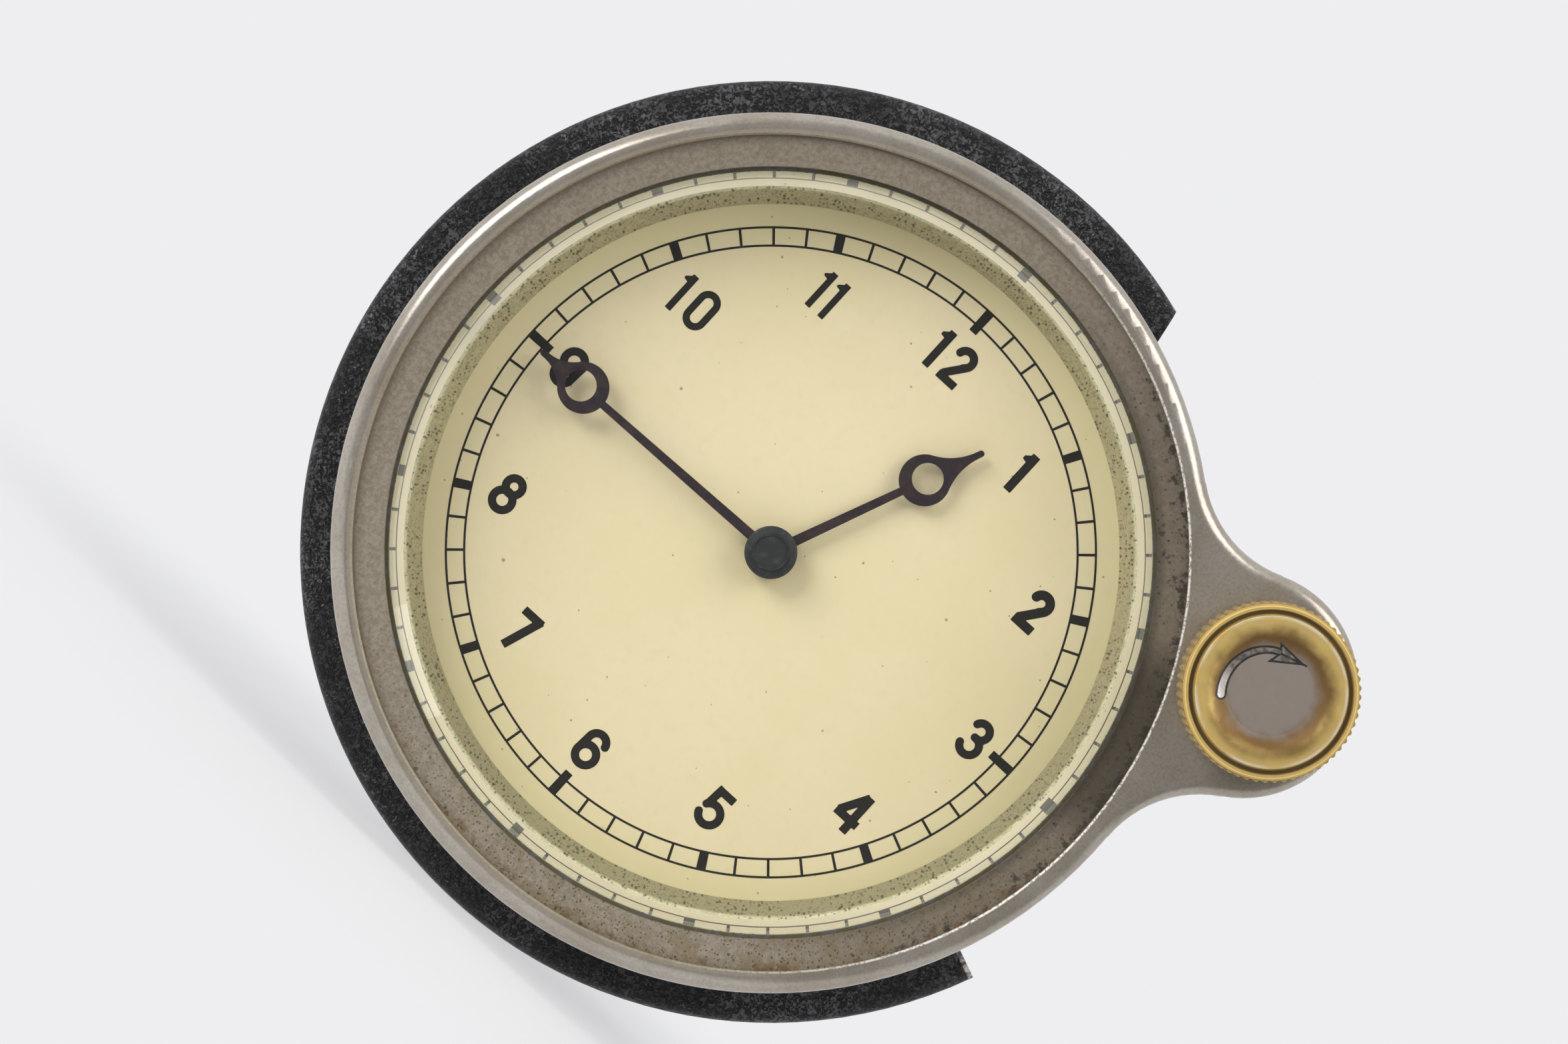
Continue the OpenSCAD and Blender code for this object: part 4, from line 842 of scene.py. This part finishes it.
def minute_track(ink):
    """Two printed circles with a tick for each minute and a bar for each hour."""
    bm = bmesh.new()
    made = {}

    def at(r, degrees):
        key = (round(r, 4), round(degrees % 360, 5))
        if key not in made:
            made[key] = bm.verts.new(frame_point(*polar(r, degrees), PRINT_Z))
        return made[key]

    def cell(r0, r1, a0, a1):
        bm.faces.new([at(r0, a0), at(r1, a0), at(r1, a1), at(r0, a1)])

    def half_mark(minute):
        """Half the angle that a minute's mark takes up, halfway between the circles."""
        width = HOUR_W if minute % 5 == 0 else TICK_W
        return math.degrees(width / (TRACK_IN + TRACK_OUT))

    circles = [(r - TRACK_LINE / 2, r + TRACK_LINE / 2) for r in (TRACK_IN, TRACK_OUT)]
    for minute in range(60):
        half = half_mark(minute)
        mark = (6 * minute - half, 6 * minute + half)
        step = (6 - half - half_mark(minute + 1)) / TRACK_STEPS
        stops = [*mark, *(mark[1] + step * k for k in range(1, TRACK_STEPS + 1))]
        for a0, a1 in zip(stops, stops[1:]):
            for r0, r1 in circles:
                cell(r0, r1, a0, a1)
        cell(circles[0][1], circles[1][0], *mark)
        if minute % 15 == 0:
            cell(circles[0][0] - QUARTER_IN, circles[0][0], *mark)
    film("minute_track", bm, ink, "case", PRINT_T)


# Winding arrow: its thickness, the cell and reach in which it is traced, and the height its rays fall from
ARROW_T = 0.02
ARROW_CELL = 0.06
ARROW_REACH = (6.6, 6.6)
RAY_HEIGHT = 5


def winding_arrow(dark, bright):
    """A worn arrow on the knob that shows which way to wind, laid on the knob's face."""
    tree = BVHTree.FromObject(SOLIDS["knob"], bpy.context.evaluated_depsgraph_get())

    def on_knob(height):
        def lift(x, y):
            start = frame_point(KNOB_X + x, KNOB_Y + y, KNOB_TOP + RAY_HEIGHT)
            hit = tree.ray_cast(start, Vector((0, 1, 0)))[0]
            return hit - Vector((0, height * MM, 0))
        return lift

    # Angles are counted from the photograph's right, the way the arrow turns
    def spot(r, clockwise):
        return tuple(polar(r, CAMERA_ROLL - clockwise))

    tip, neck, barb_out, barb_in = spot(4.25, 319), spot(4.0, 284), spot(4.95, ARROW_HEAD), spot(3.15, 268)
    shaft = sweep(CAMERA_ROLL - ARROW_HEAD, CAMERA_ROLL - ARROW_START, 4.15, 5.05, 0.6, 0.95)
    arrow = joined(shaft, convex(tip, barb_out, neck), convex(tip, neck, barb_in))

    for name, grow, height, material, slot in (("arrow_edge", 0.1, 0.006, dark, "black_boss"),
                                               ("arrow_face", -0.11, 0.014, bright, "steel")):
        bm = bmesh.new()
        trace(bm, grown(arrow, grow), ARROW_REACH, ARROW_CELL, on_knob(height))
        film(name, bm, material, "knob", ARROW_T)


# Camera: it looks straight at the dial, turned so that 12 o'clock leans to the right as in the photograph
CAMERA_AT = (-1.126, 3.241, 517.0)
LENS = 112.7


def photo_axes():
    """The photograph's right, its up, and the way from the clock to the camera."""
    a = math.radians(CAMERA_ROLL)
    return Vector((math.cos(a), 0, math.sin(a))), Vector((-math.sin(a), 0, math.cos(a))), Vector((0, -1, 0))


def make_camera():
    data = bpy.data.cameras.new("camera")
    data.lens = LENS
    data.clip_start = 10 * MM
    camera = bpy.data.objects.new("camera", data)
    SCENE.collection.objects.link(camera)
    turn = Matrix(photo_axes()).transposed().to_4x4()
    camera.matrix_world = Matrix.Translation(frame_point(*CAMERA_AT)) @ turn
    SCENE.camera = camera


# Floor: its radius and sides. The shadow shows most up to the core and ends at the reach, both from the
# clock's middle, and the background glows through it by this share
FLOOR_R = 600.0
FLOOR_SIDES = 96
SHADOW_CORE = 40.0
SHADOW_REACH = 120.0
SHADOW_GLOW = 0.66

# Room: its light, and how bright the side that the dial faces is in reflections. That side is dimmest up to
# the core, in degrees from straight ahead, and ends at the edge. The floor starts to dim and is dimmest at
# these distances in front of the panel
ROOM_LIGHT = 0.55
DIM_LEVEL = 0.16
DIM_CORE = 30.0
DIM_EDGE = 75.0
DIM_START = 35.0
DIM_FULL = 110.0

# Lamps: place along the photograph's axes in metres, width and height in metres, power in watts
LAMPS = {
    "key": ((-0.68, 0.89, 0.8), (0.8, 0.6), 13.4),
    "fill": ((0.95, 0.35, 0.7), (0.7, 0.9), 8.0),
}


def make_floor():
    """A pale floor that turns into the background away from the clock, and is dim in front as the room is."""
    f = Finish("pale_floor", roughness=0.6)
    f.coat(PAPER)
    f.coat(PAPER_SHADE, f.part(f.noise(0.02, 3), 0.3, 0.8), 0.25)
    glossy = f.rays("Glossy")
    glow = f.nodes.new("ShaderNodeEmission")
    glow.inputs["Color"].default_value = PAPER
    front = f.span(f.part(f.axis("Y"), -DIM_START, -DIM_FULL), 1.0, DIM_LEVEL)
    f.links.new(f.calc("MAXIMUM", front, f.calc("SUBTRACT", 1.0, glossy)), glow.inputs["Strength"])
    away = f.vector("LENGTH", f.vector("MULTIPLY", f.place, (1, 1, 0)), out="Value")
    share = f.span(f.part(away, SHADOW_CORE, SHADOW_REACH), SHADOW_GLOW, 1.0)
    f.show(f.either(f.both(f.seen_directly(), f.calc("MAXIMUM", share, glossy)), f.shader, glow))
    bm = bmesh.new()
    bmesh.ops.create_circle(bm, cap_ends=True, segments=FLOOR_SIDES, radius=FLOOR_R * MM,
                            matrix=Matrix.Translation((0, 0, FLOOR_Z * MM)))
    floor = mesh_object("floor", bm, f.material)


def make_world():
    """A pale room. The side that the dial faces is dim in reflections, so that the glass stays clear."""
    world = bpy.data.worlds.new("studio")
    SCENE.world = world
    world.use_nodes = True
    tree = NodeTree(world.node_tree, "World Output")
    room = tree.nodes["Background"]
    room.inputs["Color"].default_value = ROOM
    room.inputs["Strength"].default_value = ROOM_LIGHT
    seen = tree.nodes.new("ShaderNodeBackground")
    seen.inputs["Color"].default_value = PAPER
    direction = tree.nodes.new("ShaderNodeTexCoord").outputs["Generated"]
    ahead = tree.vector("DOT_PRODUCT", direction, (0, -1, 0), out="Value")
    faced = tree.part(ahead, math.cos(math.radians(DIM_EDGE)), math.cos(math.radians(DIM_CORE)))
    dim = tree.span(faced, 1.0, DIM_LEVEL)
    tree.links.new(tree.calc("MAXIMUM", tree.rays("Camera"), dim), seen.inputs["Strength"])
    tree.show(tree.either(tree.seen_directly(), room, seen))


def soft_box(name, place, size, power):
    """A lamp that is aimed at the clock."""
    data = bpy.data.lights.new(name, "AREA")
    data.shape = "RECTANGLE"
    data.size, data.size_y = size
    data.energy = power
    lamp = bpy.data.objects.new(name, data)
    SCENE.collection.objects.link(lamp)
    right, up, back = photo_axes()
    lamp.location = place[0] * right + place[1] * up + place[2] * back
    lamp.rotation_euler = lamp.location.to_track_quat("Z", "Y").to_euler()


SCENE.view_settings.view_transform = "Standard"
make_camera()
dress_solids()
ink = printed_ink()
dial_numbers(ink)
minute_track(ink)
winding_arrow(satin_black("arrow_dark"), worn_silver())
make_floor()
make_world()
for name, lamp in LAMPS.items():
    soft_box(name, *lamp)
